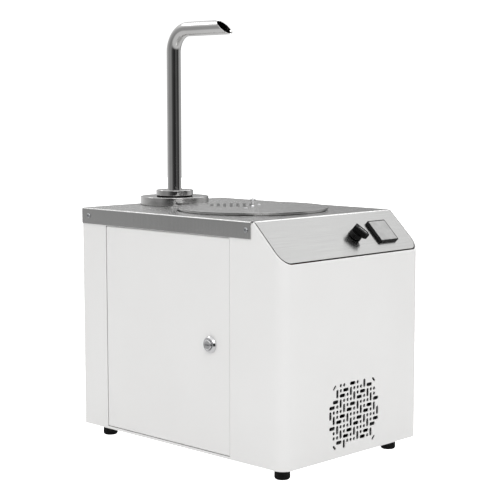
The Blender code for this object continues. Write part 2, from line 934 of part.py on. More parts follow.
def spout_collar(swivel):
    low = TOP + BASE_T + SEAL_T + 3 * GAP
    obj = turned(
        "spout_collar",
        "polished_steel",
        [
            (SPOUT_R + GAP, low + COLLAR_T), (COLLAR_R - 0.0006, low + COLLAR_T),
            (COLLAR_R, low + COLLAR_T - 0.0006), (COLLAR_R, low), (SPOUT_R + GAP, low),
        ],
        28,
        closed=True,
    )
    place(obj, SPOUT_X, SPOUT_Y, 0)
    hold_place(obj, swivel)
    return obj


def spout_tube(swivel):
    start = TOP + 0.0072
    height = FOOT_H + SPOUT_RUN_Z
    far = SPOUT_LOW_LIP + 0.010
    path = round_path(
        [(0, 0, start), (0, 0, height), (0, -far, height)], SPOUT_BEND_R, 9
    )
    obj = pipe("spout_tube", "polished_steel", path, SPOUT_R, SPOUT_WALL, 4)
    place(obj, SPOUT_X, SPOUT_Y, 0)
    lean = math.atan2(SPOUT_LOW_LIP - SPOUT_TOP_LIP, 2 * SPOUT_R)
    mitre = box("mouth_mitre", None, (-0.03, -0.06, -0.05), (0.03, 0, 0.05))
    middle = (SPOUT_LOW_LIP + SPOUT_TOP_LIP) / 2
    place(
        mitre,
        SPOUT_X,
        SPOUT_Y - middle,
        height,
        Matrix.Rotation(lean, 4, "X"),
    )
    cut(obj, mitre)
    hold_place(obj, swivel)
    hold_place(mitre, swivel)
    return obj


def spout_seal():
    low = TOP + BASE_T + 2 * GAP
    obj = turned(
        "spout_seal",
        "black_rubber",
        [(0.0100, low + SEAL_T), (0.0236, low + SEAL_T), (0.0236, low), (0.0100, low)],
        32,
        closed=True,
    )
    place(obj, SPOUT_X, SPOUT_Y, 0)
    return obj


def riser_tube():
    low = BASE + 0.1083
    high = TOP - 0.0030
    obj = turned(
        "riser_tube",
        "polished_steel",
        [
            (RISER_R - RISER_WALL, high), (RISER_R, high), (RISER_R, low),
            (RISER_R - RISER_WALL, low),
        ],
        32,
        closed=True,
    )
    place(obj, SPOUT_X, SPOUT_Y, 0)
    port = rod("riser_port", None, 0.0093, 0.0, 0.03, 20, Matrix.Rotation(math.pi / 2, 4, "X"))
    place(port, SPOUT_X, SPOUT_Y, BASE + 0.140)
    cut(obj, port)
    return obj


def feed_pipe():
    start = TOP - TANK_DEPTH
    z = BASE + 0.140
    path = round_path(
        [(0, LID_Y + 0.040, start), (SPOUT_X / 2, LID_Y + 0.040, z),
         (SPOUT_X, SPOUT_Y - RISER_R + 0.0010, z)],
        0.0150,
        6,
    )
    return pipe("feed_pipe", "polished_steel", path, 0.0090, 0.0010, 3)


def auger(spin):
    low = BASE + 0.1190
    turns = 2.5
    layers = 36
    length = 0.1430
    outline = []
    blade = 0.0012
    hub = math.asin(blade / AUGER_SHAFT_R)
    tip = math.asin(blade / AUGER_R)
    for side in (0, math.pi):
        for radius, angle in ((AUGER_R, -tip), (AUGER_R, tip)):
            outline.append((radius * math.cos(side + angle), radius * math.sin(side + angle)))
        for i in range(4):
            angle = side + hub + (math.pi - 2 * hub) * i / 3
            outline.append((AUGER_SHAFT_R * math.cos(angle), AUGER_SHAFT_R * math.sin(angle)))
    bm = bmesh.new()
    face = bm.faces.new([bm.verts.new((x, y, low)) for x, y in outline])
    for layer in range(layers):
        result = bmesh.ops.extrude_face_region(bm, geom=[face])
        if layer > 0:
            bmesh.ops.delete(bm, geom=[face], context="FACES_ONLY")
        verts = [item for item in result["geom"] if isinstance(item, bmesh.types.BMVert)]
        face = next(item for item in result["geom"] if isinstance(item, bmesh.types.BMFace))
        bmesh.ops.translate(bm, vec=(0, 0, length / layers), verts=verts)
        bmesh.ops.rotate(
            bm,
            cent=(0, 0, 0),
            matrix=Matrix.Rotation(math.tau * turns / layers, 3, "Z"),
            verts=verts,
        )
    bmesh.ops.triangulate(bm, faces=bm.faces)
    obj = new_object("auger", mesh_from_bmesh("auger", bm), "polished_steel")
    stub = rod("auger_stub", None, AUGER_SHAFT_R - 0.0003, BASE + 0.0933, low + 0.0100, 16)
    cut(obj, stub, "UNION")
    place(obj, SPOUT_X, SPOUT_Y, 0)
    place(stub, SPOUT_X, SPOUT_Y, 0)
    hold_place(obj, spin)
    hold_place(stub, spin)
    smooth(obj, 40)
    return obj


def bearing_housing():
    obj = turned(
        "bearing_housing",
        "anodised_aluminium",
        [
            (0.0090, BASE + 0.1180), (0.0212, BASE + 0.1180), (0.0212, BASE + 0.1080),
            (0.0260, BASE + 0.1080), (0.0260, BASE + 0.1040), (0.0200, BASE + 0.1010),
            (0.0200, BASE + 0.0860), (0.0280, BASE + 0.0860), (0.0280, BASE + 0.0823),
            (0.0115, BASE + 0.0823), (0.0115, BASE + 0.1030), (0.0053, BASE + 0.1030),
            (0.0053, BASE + 0.1120), (0.0090, BASE + 0.1120),
        ],
        20,
        closed=True,
    )
    place(obj, SPOUT_X, SPOUT_Y, 0)
    return obj


def shaft_seal():
    obj = turned(
        "shaft_seal",
        "black_rubber",
        [
            (0.0054, BASE + 0.1160), (0.0087, BASE + 0.1170), (0.0087, BASE + 0.1123),
            (0.0056, BASE + 0.1123),
        ],
        20,
        closed=True,
    )
    place(obj, SPOUT_X, SPOUT_Y, 0)
    return obj


def coupling(spin):
    obj = turned(
        "shaft_coupling",
        "anodised_aluminium",
        [
            (0, BASE + 0.0928), (0.0053, BASE + 0.0928), (0.0053, BASE + 0.1010),
            (0.0095, BASE + 0.1010), (0.0095, BASE + 0.0845), (0.0043, BASE + 0.0845),
            (0.0043, BASE + 0.0924), (0, BASE + 0.0924),
        ],
        20,
    )
    place(obj, SPOUT_X, SPOUT_Y, 0)
    hold_place(obj, spin)
    shaft = rod("gearbox_shaft", "zinc_steel", 0.0040, BASE + 0.0800, BASE + 0.0921, 14)
    place(shaft, SPOUT_X, SPOUT_Y, 0)
    smooth(shaft)
    hold_place(shaft, spin)


def motor_bracket():
    bm = bmesh.new()
    rows = (
        (-0.050, 0.0033), (-0.034, 0.0033), (-0.034, 0.0820), (0.034, 0.0820), (0.034, 0.0033),
        (0.050, 0.0033),
    )
    front = [bm.verts.new((SPOUT_X + x, SPOUT_Y - 0.032, BASE + z)) for x, z in rows]
    rear = [bm.verts.new((SPOUT_X + x, SPOUT_Y + 0.032, BASE + z)) for x, z in rows]
    for i in range(5):
        bm.faces.new((front[i], front[i + 1], rear[i + 1], rear[i]))
    mesh = mesh_from_bmesh("motor_bracket", bm)
    obj = new_object("motor_bracket", mesh, "zinc_steel")
    if max(polygon.normal.z for polygon in mesh.polygons) < 0.9:
        mesh.flip_normals()
    solid = obj.modifiers.new("sheet", "SOLIDIFY")
    solid.thickness = 0.0015
    solid.offset = -1
    hole = rod("bracket_bore", None, 0.0112, 0.06, 0.12, 24)
    place(hole, SPOUT_X, SPOUT_Y, 0)
    cut(obj, hole)
    return obj


def gear_motor():
    gearbox = turned(
        "gearbox",
        "anodised_aluminium",
        [
            (0, BASE + 0.0797), (0.0290, BASE + 0.0797), (0.0300, BASE + 0.0787),
            (0.0300, BASE + 0.0520), (0, BASE + 0.0520),
        ],
        32,
    )
    place(gearbox, SPOUT_X, SPOUT_Y, 0)
    motor = turned(
        "motor",
        "black_plastic",
        [
            (0, BASE + 0.0517), (0.0250, BASE + 0.0517), (0.0250, BASE + 0.0100),
            (0.0240, BASE + 0.0085), (0.0080, BASE + 0.0085), (0.0080, BASE + 0.0060),
            (0, BASE + 0.0060),
        ],
        24,
    )
    place(motor, SPOUT_X, SPOUT_Y, 0)


# Cooling fan behind the front vent.
def fan_frame():
    front = FRONT + SHEET + GAP
    half = FAN_SIZE / 2
    obj = plate(
        "fan_frame",
        "black_plastic",
        [
            rounded_outline(half, half, 0.004, 2),
        ],
        -FAN_T,
        0.0,
    )
    bore = rod("hole", "chrome", 0.0380, -0.0220, 0.01, 28)
    pieces = [bore]
    cut(obj, join_cutters("fan_bore", pieces))
    sectors = []
    for i in range(4):
        outline = []
        for radius, sweep in ((0.0180, 1), (0.0380, -1)):
            slack = math.asin(0.0020 / radius)
            for j in range(6):
                t = j / 5 if sweep > 0 else 1 - j / 5
                angle = math.pi / 4 + i * math.pi / 2 + slack + t * (math.pi / 2 - 2 * slack)
                outline.append((radius * math.cos(angle), radius * math.sin(angle)))
        sectors.append(plate("sector", "chrome", [outline], -0.03, -0.0210))
    cut(obj, join_cutters("fan_sectors", sectors))
    screws = []
    for x in (-1, 1):
        for y in (-1, 1):
            hole = rod("hole", "chrome", 0.0022, -0.03, 0.01, 10)
            hole.data.transform(Matrix.Translation((x * FAN_PITCH / 2, y * FAN_PITCH / 2, 0)))
            screws.append(hole)
    cut(obj, join_cutters("fan_screw_holes", screws))
    matrix = Matrix.Translation((VENT_X, front, BASE + VENT_Z)) @ Matrix.Rotation(math.pi / 2, 4, "X")
    for item in (obj, *(bpy.data.objects[n] for n in ("fan_bore", "fan_sectors", "fan_screw_holes"))):
        item.matrix_world = matrix
    return obj


def fan_rotor(spin):
    obj = rod("fan_rotor", "black_plastic", 0.0165, -0.0200, -0.0020, 28)
    blades = []
    for i in range(7):
        blade = box("blade", "chrome", (0.0140, -0.0009, -0.0110), (0.0360, 0.0009, 0.0110))
        blade.data.transform(
            Matrix.Rotation(math.tau * i / 7, 4, "Z")
            @ Matrix.Translation((0, 0, -0.0110))
            @ Matrix.Rotation(math.radians(52), 4, "X")
        )
        blades.append(blade)
    cutter = join_cutters("fan_blades", blades)
    cut(obj, cutter, "UNION")
    front = FRONT + SHEET + GAP
    matrix = Matrix.Translation((VENT_X, front, BASE + VENT_Z)) @ Matrix.Rotation(math.pi / 2, 4, "X")
    for item in (obj, cutter):
        item.matrix_world = matrix
        hold_place(item, spin)
    return obj


# Controls on the sloped panel.
def slope_matrix():
    return Matrix.Translation((0, FRONT + SLOPE_RUN, TOP)) @ Matrix.Rotation(SLOPE_ANGLE, 4, "X")


def on_slope(obj, x, t, turn=0.0):
    obj.matrix_world = (
        slope_matrix() @ Matrix.Translation((x, -t, 0)) @ Matrix.Rotation(turn, 4, "Z")
    )
    return obj


def speed_control():
    pot = turned(
        "speed_pot",
        "zinc_steel",
        [
            (0, -0.0030), (0.0031, -0.0030), (0.0031, 0.0040), (0.0035, 0.0040),
            (0.0035, -0.0013), (0.0080, -0.0013), (0.0080, -0.0100), (0, -0.0100),
        ],
        20,
    )
    on_slope(pot, KNOB_X, KNOB_T)
    nut = turned(
        "pot_nut",
        "zinc_steel",
        [(0.0043, 0.0023), (0.0060, 0.0023), (0.0060, 0.0003), (0.0043, 0.0003)],
        6,
        closed=True,
    )
    nut.modifiers["turn"].use_smooth_shade = False
    on_slope(nut, KNOB_X, KNOB_T)
    axis = pivot("knob_axis", 0, 0, 0)
    axis.matrix_world = slope_matrix() @ Matrix.Translation((KNOB_X, -KNOB_T, 0))
    shaft = rod("pot_shaft", "zinc_steel", 0.0028, -0.0026, 0.0100, 14)
    smooth(shaft)
    on_slope(shaft, KNOB_X, KNOB_T)
    hold_place(shaft, axis)
    profile = [
        (0, 0.0138), (0.0074, 0.0138), (0.0080, 0.0130), (0.0085, 0.0008), (0.0066, 0.0008),
        (0.0064, 0.0048), (0.0031, 0.0048), (0.0031, 0.0104), (0, 0.0104),
    ]
    knob = turned("speed_knob", "black_plastic", profile, 28)
    on_slope(knob, KNOB_X, KNOB_T, KNOB_TURN)
    trims = []
    for side in (-1, 1):
        trim = box("trim", "chrome", (-0.012, 0.0038, 0.0062), (0.0105, 0.012, 0.02))
        if side < 0:
            trim.data.transform(Matrix.Rotation(math.pi, 4, "X"))
            trim.data.transform(Matrix.Translation((0, 0, 0.0262)))
        trims.append(trim)
    grip = join_cutters("grip_trim", trims)
    on_slope(grip, KNOB_X, KNOB_T, KNOB_TURN)
    cut(knob, grip)
    pointer = plate(
        "pointer",
        None,
        [[(0.0050, -0.0037), (0.0095, -0.0037), (0.0130, 0.0), (0.0095, 0.0037), (0.0050, 0.0037)]],
        0.0055,
        0.0137,
    )
    on_slope(pointer, KNOB_X, KNOB_T, KNOB_TURN)
    cut(knob, pointer, "UNION")
    for item in (knob, grip, pointer):
        hold_place(item, axis)


def power_switch():
    half_w = SWITCH_W / 2
    half_l = SWITCH_L / 2
    housing = plate(
        "switch_housing",
        "black_plastic",
        [rounded_outline(half_w, half_l, 0.0012, 2)],
        0.0003,
        0.0038,
    )
    neck = box("switch_neck", None, (-0.0140, -0.0127, -0.0250), (0.0140, 0.0127, 0.0020))
    cut(housing, neck, "UNION")
    recess = box("hole", "chrome", (-0.0152, -0.0150, 0.0012), (0.0152, 0.0150, 0.02))
    well = box("hole", "chrome", (-0.0126, -0.0114, -0.0090), (0.0126, 0.0114, 0.0015))
    cut(housing, move_cutter("switch_recess", recess))
    cut(housing, move_cutter("switch_well", well))
    for item in (housing, neck):
        on_slope(item, SWITCH_X, SWITCH_T)
    for name in ("switch_recess", "switch_well"):
        on_slope(bpy.data.objects[name], SWITCH_X, SWITCH_T)
    axis = pivot("rocker_axis", 0, 0, 0)
    axis.matrix_world = slope_matrix() @ Matrix.Translation((SWITCH_X, -SWITCH_T, -0.0038))
    outline = [
        (-0.0102, -0.0055 + 0.003), (0.0102, -0.0055 + 0.003), (0.0102, 0.0018 + 0.003),
        (0.0, 0.0010 + 0.003), (-0.0102, 0.0018 + 0.003),
    ]
    rocker = plate("switch_rocker", "light_plastic", [outline], -0.0122, 0.0122)
    rocker.data.transform(
        Matrix.Rotation(math.radians(90), 4, "Z") @ Matrix.Rotation(math.radians(90), 4, "X")
    )
    rocker.matrix_world = axis.matrix_world @ Matrix.Rotation(math.radians(-7), 4, "X")
    hold_place(rocker, axis)
    cover = plate(
        "switch_cover",
        "clear_silicone",
        [rounded_outline(0.0149, 0.0147, 0.0010, 2)],
        0.0029,
        0.0041,
    )
    on_slope(cover, SWITCH_X, SWITCH_T)


def move_cutter(name, piece):
    return join_cutters(name, [piece])


# Electrics inside the cabinet.
def power_inlet():
    flange = plate(
        "power_inlet",
        "black_plastic",
        [rounded_outline(0.0240, 0.0135, 0.0040, 3)],
        0.0003,
        0.0028,
    )
    body = plate("inlet_body", None, [rounded_outline(0.0138, 0.0099, 0.0012, 2)], -0.0200, 0.0010)
    cut(flange, body, "UNION")
    socket = plate(
        "inlet_socket", None, [rounded_outline(0.0120, 0.0080, 0.0020, 2)], -0.0165, 0.0100
    )
    cut(flange, socket)
    pins = []
    for x, y in ((-0.007, -0.002), (0.007, -0.002), (0.0, 0.002)):
        pins.append(
            box("pin", "chrome", (x - 0.001, y - 0.002, -0.0180), (x + 0.001, y + 0.002, -0.0030))
        )
    prongs = join_cutters("inlet_pins", pins)
    cut(flange, prongs, "UNION")
    turn = Matrix.Translation((0.080, REAR, BASE + 0.058)) @ Matrix.Rotation(-math.pi / 2, 4, "X")
    for item in (flange, body, socket, prongs):
        item.matrix_world = turn


def power_supply():
    obj = box(
        "power_supply",
        "zinc_steel",
        (0.054, -0.060, BASE + 0.0018),
        (0.112, 0.050, BASE + 0.0400),
    )
    soften(obj, 0.0015)
    return obj


def control_board():
    obj = box(
        "control_board",
        "green_board",
        (0.050, -0.145, BASE + 0.0060),
        (0.112, -0.070, BASE + 0.0076),
    )
    blocks = [
        box("block", "chrome", (0.054, -0.140, BASE + 0.0070), (0.070, -0.118, BASE + 0.0200)),
        box("block", "chrome", (0.078, -0.138, BASE + 0.0070), (0.104, -0.124, BASE + 0.0160)),
        box("block", "chrome", (0.060, -0.100, BASE + 0.0070), (0.100, -0.080, BASE + 0.0240)),
        box("block", "chrome", (0.053, -0.142, BASE + 0.0018), (0.057, -0.138, BASE + 0.0070)),
        box("block", "chrome", (0.105, -0.142, BASE + 0.0018), (0.109, -0.138, BASE + 0.0070)),
        box("block", "chrome", (0.053, -0.077, BASE + 0.0018), (0.057, -0.073, BASE + 0.0070)),
        box("block", "chrome", (0.105, -0.077, BASE + 0.0018), (0.109, -0.073, BASE + 0.0070)),
    ]
    cut(obj, join_cutters("board_blocks", blocks), "UNION")
    return obj


def leads():
    z = BASE + 0.012
    wire(
        "mains_lead",
        "black_plastic",
        round_path(
            [(0.080, REAR - 0.0215, BASE + 0.058), (0.080, 0.105, BASE + 0.058),
             (0.080, 0.105, z), (0.080, 0.0505, z)],
            0.010,
            4,
        ),
        0.0030,
    )
    wire(
        "motor_lead",
        "black_plastic",
        round_path(
            [(SPOUT_X, SPOUT_Y - 0.0256, BASE + 0.030), (SPOUT_X, SPOUT_Y - 0.045, BASE + 0.030),
             (0.045, 0.060, BASE + 0.030), (0.045, -0.128, BASE + 0.0125),
             (0.0536, -0.128, BASE + 0.0125)],
            0.004,
            3,
        ),
        0.0016,
    )
    wire(
        "fan_lead",
        "black_plastic",
        round_path(
            [(VENT_X + 0.0404, FRONT + 0.020, BASE + 0.020), (0.060, FRONT + 0.020, BASE + 0.020),
             (0.091, FRONT + 0.026, BASE + 0.0125), (0.091, -0.1384, BASE + 0.0125)],
            0.004,
            3,
        ),
        0.0016,
    )
    foot = slope_matrix() @ Vector((SWITCH_X, -SWITCH_T, -0.0255))
    wire(
        "switch_lead",
        "black_plastic",
        round_path(
            [tuple(foot), (SWITCH_X, foot.y + 0.020, foot.z - 0.020),
             (SWITCH_X, foot.y + 0.020, BASE + 0.060), (SWITCH_X, -0.030, BASE + 0.060),
             (SWITCH_X, -0.030, BASE + 0.0405)],
            0.008,
            4,
        ),
        0.0025,
    )


def build():
    hinge = pivot("door_axis", hinge_x(), hinge_y(), BASE)
    lift = pivot("lid_axis", 0, LID_Y, TOP)
    swivel = pivot("spout_axis", SPOUT_X, SPOUT_Y, TOP)
    auger_axis = pivot("auger_axis", SPOUT_X, SPOUT_Y, BASE)
    fan_axis = pivot("fan_axis", VENT_X, FRONT, BASE + VENT_Z)
    body_shell()
    base_pan()
    rear_panel()
    top_cover()
    cover_screws()
    feet()
    side_door(hinge)
    door_pins(hinge)
    hinge_bracket()
    lock(hinge)
    tank()
    tank_lid(lift)
    lid_hardware(lift)
    tank_heater()
    tank_sensor()
    spout_base()
    spout_collar(swivel)
    spout_tube(swivel)
    spout_seal()
    riser_tube()
    feed_pipe()
    auger(auger_axis)
    bearing_housing()
    shaft_seal()
    coupling(auger_axis)
    motor_bracket()
    gear_motor()
    fan_frame()
    fan_rotor(fan_axis)
    speed_control()
    power_switch()
    power_inlet()
    power_supply()
    control_board()
    leads()


build()
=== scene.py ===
import json
import math

import bmesh
import bpy
from mathutils import Matrix, Vector

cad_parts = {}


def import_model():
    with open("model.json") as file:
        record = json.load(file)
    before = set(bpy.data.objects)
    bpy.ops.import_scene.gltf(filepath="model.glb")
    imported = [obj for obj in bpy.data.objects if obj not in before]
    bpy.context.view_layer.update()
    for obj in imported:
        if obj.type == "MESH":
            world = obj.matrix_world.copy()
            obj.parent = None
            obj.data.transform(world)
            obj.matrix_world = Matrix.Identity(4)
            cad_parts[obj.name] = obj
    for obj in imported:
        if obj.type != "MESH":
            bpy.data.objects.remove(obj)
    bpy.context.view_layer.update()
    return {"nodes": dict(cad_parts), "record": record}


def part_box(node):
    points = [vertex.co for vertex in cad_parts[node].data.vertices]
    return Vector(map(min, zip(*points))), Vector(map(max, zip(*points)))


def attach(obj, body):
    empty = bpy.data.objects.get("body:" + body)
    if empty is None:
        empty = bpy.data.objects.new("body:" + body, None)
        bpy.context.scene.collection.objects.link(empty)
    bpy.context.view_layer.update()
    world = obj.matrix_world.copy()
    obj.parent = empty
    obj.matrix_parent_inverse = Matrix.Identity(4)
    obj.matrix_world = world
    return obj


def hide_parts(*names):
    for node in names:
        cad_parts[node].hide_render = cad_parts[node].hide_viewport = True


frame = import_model()

# Dimensions in metres and turns in degrees, most of them repeated from the CAD source.
# Pairs are low and high, inside and outside, or half length and radius.
HALF_W = 0.1244
FRONT = -0.17675
REAR = 0.17675
CORNER_R = 0.0150
SHEET = 0.0012
WALL_TOP_DROP = 0.0046
LIP_TOP_DROP = 0.0016
COVER_SHEET = 0.0010
COVER_HALF_W = 0.1255
COVER_FLANGE = 0.0200
SLOPE_RUN = 0.0484
SLOPE_DROP = 0.0477
PANEL_INSET = 0.0029
LIP = 0.0014
FOLD_RELIEF = 0.0030
DOOR_FRONT_GAP = 0.0006
DOOR_HINGE_GAP = 0.0014
DOOR_LEVEL_GAP = 0.00035
DOOR_FLANGE = 0.0120
DOOR_EDGE_R = 0.0020
LOCK_HOLE_R = 0.0081
PIN_HOLE_R = 0.0024
SCREW_HOLE_R = 0.0019
COVER_BEND_R = 0.0022
LID_HOLE_R = 0.0861
SPOUT_HOLE_R = 0.0242
KNOB_HOLE_R = 0.0038
VENT_X = -0.0016
VENT_RISE = 0.0490
VENT_PITCH = 0.00615
VENT_SLOT_R = 0.0022
VENT_CORNER_SLOT = (0.0021, 0.0015)
VENT_EXTRA_DOTS = ((-4, 6), (6, 4), (-6, -4))
VENT_REACH_LEVEL = 6.9  # in pitches, for level slots
VENT_REACH_UPRIGHT = 7.05
VENT_REACH_DOT = 6.75
FAN_PITCH = 0.0715
LID_SHEET = 0.0020
LID_WAVE = 0.00017
LID_SKIRT = (0.0826, 0.0838)
LID_KNOB_H = 0.0108
LID_STUD_H = 0.0014
LID_STUD_HOLE_R = 0.0013
DRAIN_R = 0.0300
DRAIN_HOLE_R = 0.0023
DRAIN_PITCH = 0.0083
DRAIN_Y = 0.0310  # centre of the hole field
SPOUT_BEND_R = 0.0290
SPOUT_TOP_LIP = 0.0830
SPOUT_LOW_LIP = 0.1060
SPOUT_WALL = 0.0010
SPOUT_BORE_R = 0.0098
COLLAR_BORE_R = 0.00955
KNOB_X = 0.0245
KNOB_T = 0.0355
KNOB_TURN = -62.0
KNOB_SKIRT_TOP = 0.0066
KNOB_GRIP = (0.0060, 0.0138)
SWITCH_X = 0.0758
SWITCH_T = 0.0343
SWITCH_FRAME = (0.0003, 0.0038)
SWITCH_SHIELD = (0.0029, 0.0041)
INLET_X = 0.0800
INLET_RISE = 0.0580
SLOPE_ANGLE = math.atan2(SLOPE_DROP, SLOPE_RUN)

# Camera, in degrees, metres and millimetres of lens.
CAMERA_TARGET = (-0.03427, -0.03575, 0.25225)
CAMERA_AZIMUTH = -45.671
CAMERA_ELEVATION = 6.2855
CAMERA_ROLL = -0.057
CAMERA_DISTANCE = 1.669
CAMERA_LENS = 97.9

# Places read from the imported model, and turns between planes.
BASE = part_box("body_shell")[0].z
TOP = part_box("top_cover")[1].z
FLIP_X = Matrix.Rotation(math.pi / 2, 4, "X")
TO_RIGHT = Matrix.Rotation(math.pi / 2, 4, "Y")
TO_LEFT = Matrix.Rotation(-math.pi / 2, 4, "Y")
SLOPE = Matrix.Translation((0, FRONT + SLOPE_RUN, TOP)) @ Matrix.Rotation(SLOPE_ANGLE, 4, "X")

looks = bpy.data.collections.new("looks")
bpy.context.scene.collection.children.link(looks)


# Materials.
NOISE_SPAN = (0.3, 0.7)


class Finish:
    """A Principled material under construction, in object coordinates in metres."""

    def __init__(self, name, colour, metallic, roughness):
        self.material = bpy.data.materials.new(name)
        self.material.use_nodes = True
        self.tree = self.material.node_tree
        self.shader = self.tree.nodes["Principled BSDF"]
        self.shader.inputs["Base Color"].default_value = (*colour, 1.0)
        self.shader.inputs["Metallic"].default_value = metallic
        self.shader.inputs["Roughness"].default_value = roughness
        self.place = self.tree.nodes.new("ShaderNodeTexCoord").outputs["Object"]

    def link(self, source, target):
        self.tree.links.new(source, target)

    def set(self, name, value):
        self.shader.inputs[name].default_value = value

    def noise(self, scale, detail=3.0, stretch=(1.0, 1.0, 1.0)):
        mapping = self.tree.nodes.new("ShaderNodeMapping")
        mapping.inputs["Scale"].default_value = stretch
        self.link(self.place, mapping.inputs["Vector"])
        texture = self.tree.nodes.new("ShaderNodeTexNoise")
        texture.inputs["Scale"].default_value = scale
        texture.inputs["Detail"].default_value = detail
        self.link(mapping.outputs["Vector"], texture.inputs["Vector"])
        return texture.outputs["Fac"]

    def tint(self, factor, dark, light):
        stops = self.tree.nodes.new("ShaderNodeValToRGB")
        for element, place, colour in zip(stops.color_ramp.elements, NOISE_SPAN, (dark, light)):
            element.position = place
            element.color = (*colour, 1.0)
        self.link(factor, stops.inputs["Fac"])
        self.link(stops.outputs["Color"], self.shader.inputs["Base Color"])

    def rough(self, factor, low, high):
        scaled = self.tree.nodes.new("ShaderNodeMapRange")
        names = ("From Min", "From Max", "To Min", "To Max")
        for name, value in zip(names, (*NOISE_SPAN, low, high)):
            scaled.inputs[name].default_value = value
        self.link(factor, scaled.inputs["Value"])
        self.link(scaled.outputs["Result"], self.shader.inputs["Roughness"])

    def bump(self, factor, height, strength=1.0):
        node = self.tree.nodes.new("ShaderNodeBump")
        node.inputs["Distance"].default_value = height
        node.inputs["Strength"].default_value = strength
        self.link(factor, node.inputs["Height"])
        self.link(node.outputs["Normal"], self.shader.inputs["Normal"])

    def combed(self, amount, axis):
        """Stretches highlights square to the brushing, round an object axis."""
        self.set("Anisotropic", amount)
        tangent = self.tree.nodes.new("ShaderNodeTangent")
        tangent.direction_type = "RADIAL"
        tangent.axis = axis
        self.link(tangent.outputs[0], self.shader.inputs["Tangent"])


def white_powder_coat():
    finish = Finish("white_powder_coat", (0.86, 0.86, 0.85), 0.0, 0.42)
    finish.tint(finish.noise(9.0, 4.0), (0.800, 0.796, 0.788), (0.820, 0.817, 0.810))
    finish.rough(finish.noise(60.0, 5.0), 0.36, 0.50)
    finish.bump(finish.noise(750.0, 2.0), 0.00006, 0.35)
    return finish.material


def brushed(name, colour, stretch, low, high, axis):
    finish = Finish(name, colour, 1.0, (low + high) / 2)
    finish.combed(0.85, axis)
    streaks = finish.noise(1.0, 6.0, stretch)
    fine = finish.noise(2.6, 3.0, stretch)
    dark = tuple(0.95 * c for c in colour)
    light = tuple(min(1.0, 1.04 * c) for c in colour)
    finish.tint(streaks, dark, light)
    finish.rough(fine, low, high)
    finish.bump(fine, 0.00001, 0.40)
    return finish.material


def brushed_steel():
    return brushed("brushed_steel", (0.56, 0.56, 0.555), (14.0, 1500.0, 14.0), 0.17, 0.26, "X")


def polished_steel():
    finish = Finish("polished_steel", (0.66, 0.655, 0.65), 1.0, 0.10)
    finish.tint(finish.noise(35.0, 4.0), (0.63, 0.625, 0.62), (0.69, 0.685, 0.68))
    finish.rough(finish.noise(1.0, 4.0, (160.0, 160.0, 30.0)), 0.05, 0.13)
    finish.bump(finish.noise(120.0, 2.0), 0.00005, 0.10)
    return finish.material


def chrome():
    finish = Finish("chrome", (0.78, 0.78, 0.79), 1.0, 0.07)
    finish.rough(finish.noise(300.0, 4.0), 0.04, 0.12)
    finish.bump(finish.noise(400.0, 2.0), 0.00002, 0.12)
    return finish.material


def zinc_steel():
    finish = Finish("zinc_steel", (0.55, 0.56, 0.58), 1.0, 0.40)
    finish.tint(finish.noise(140.0, 5.0), (0.47, 0.48, 0.50), (0.60, 0.61, 0.62))
    finish.rough(finish.noise(90.0, 4.0), 0.30, 0.50)
    finish.bump(finish.noise(600.0, 2.0), 0.00003, 0.30)
    return finish.material


def black_rubber():
    finish = Finish("black_rubber", (0.009, 0.009, 0.009), 0.0, 0.72)
    finish.set("Specular IOR Level", 0.12)
    finish.tint(finish.noise(120.0, 4.0), (0.006, 0.006, 0.006), (0.013, 0.013, 0.013))
    finish.rough(finish.noise(220.0, 3.0), 0.62, 0.82)
    finish.bump(finish.noise(1400.0, 3.0), 0.00008, 0.5)
    return finish.material


def black_plastic():
    finish = Finish("black_plastic", (0.005, 0.005, 0.005), 0.0, 0.26)
    finish.set("Specular IOR Level", 0.22)
    finish.tint(finish.noise(80.0, 3.0), (0.003, 0.003, 0.003), (0.007, 0.007, 0.007))
    finish.rough(finish.noise(500.0, 3.0), 0.20, 0.34)
    finish.bump(finish.noise(1800.0, 2.0), 0.00004, 0.4)
    return finish.material


def light_plastic():
    finish = Finish("light_plastic", (0.52, 0.52, 0.52), 0.0, 0.30)
    finish.tint(finish.noise(70.0, 3.0), (0.50, 0.50, 0.50), (0.56, 0.56, 0.56))
    finish.rough(finish.noise(400.0, 3.0), 0.22, 0.36)
    finish.bump(finish.noise(1500.0, 2.0), 0.00002, 0.3)
    return finish.material


def clear_silicone():
    finish = Finish("clear_silicone", (0.60, 0.60, 0.60), 0.0, 0.12)
    finish.tint(finish.noise(90.0, 4.0), (0.52, 0.52, 0.515), (0.64, 0.64, 0.635))
    finish.set("Transmission Weight", 0.25)
    finish.set("IOR", 1.41)
    finish.rough(finish.noise(260.0, 3.0), 0.06, 0.20)
    finish.bump(finish.noise(220.0, 2.0), 0.00010, 0.15)
    return finish.material


def red_silicone():
    finish = Finish("red_silicone", (0.42, 0.05, 0.03), 0.0, 0.60)
    finish.tint(finish.noise(160.0, 4.0), (0.34, 0.04, 0.025), (0.46, 0.06, 0.035))
    finish.rough(finish.noise(300.0, 3.0), 0.50, 0.70)
    finish.bump(finish.noise(900.0, 2.0), 0.00010, 0.5)
    return finish.material


def green_board():
    finish = Finish("green_board", (0.02, 0.15, 0.06), 0.0, 0.42)
    finish.tint(finish.noise(420.0, 2.0, (1.0, 0.25, 1.0)), (0.012, 0.10, 0.04), (0.03, 0.19, 0.08))
    finish.rough(finish.noise(500.0, 2.0), 0.32, 0.50)
    finish.bump(finish.noise(500.0, 1.0), 0.00006, 0.4)
    return finish.material


def anodised_aluminium():
    finish = Finish("anodised_aluminium", (0.55, 0.56, 0.57), 1.0, 0.42)
    finish.tint(finish.noise(70.0, 4.0), (0.50, 0.51, 0.52), (0.60, 0.61, 0.62))
    finish.rough(finish.noise(400.0, 3.0), 0.36, 0.50)
    finish.bump(finish.noise(1200.0, 2.0), 0.00003, 0.35)
    return finish.material


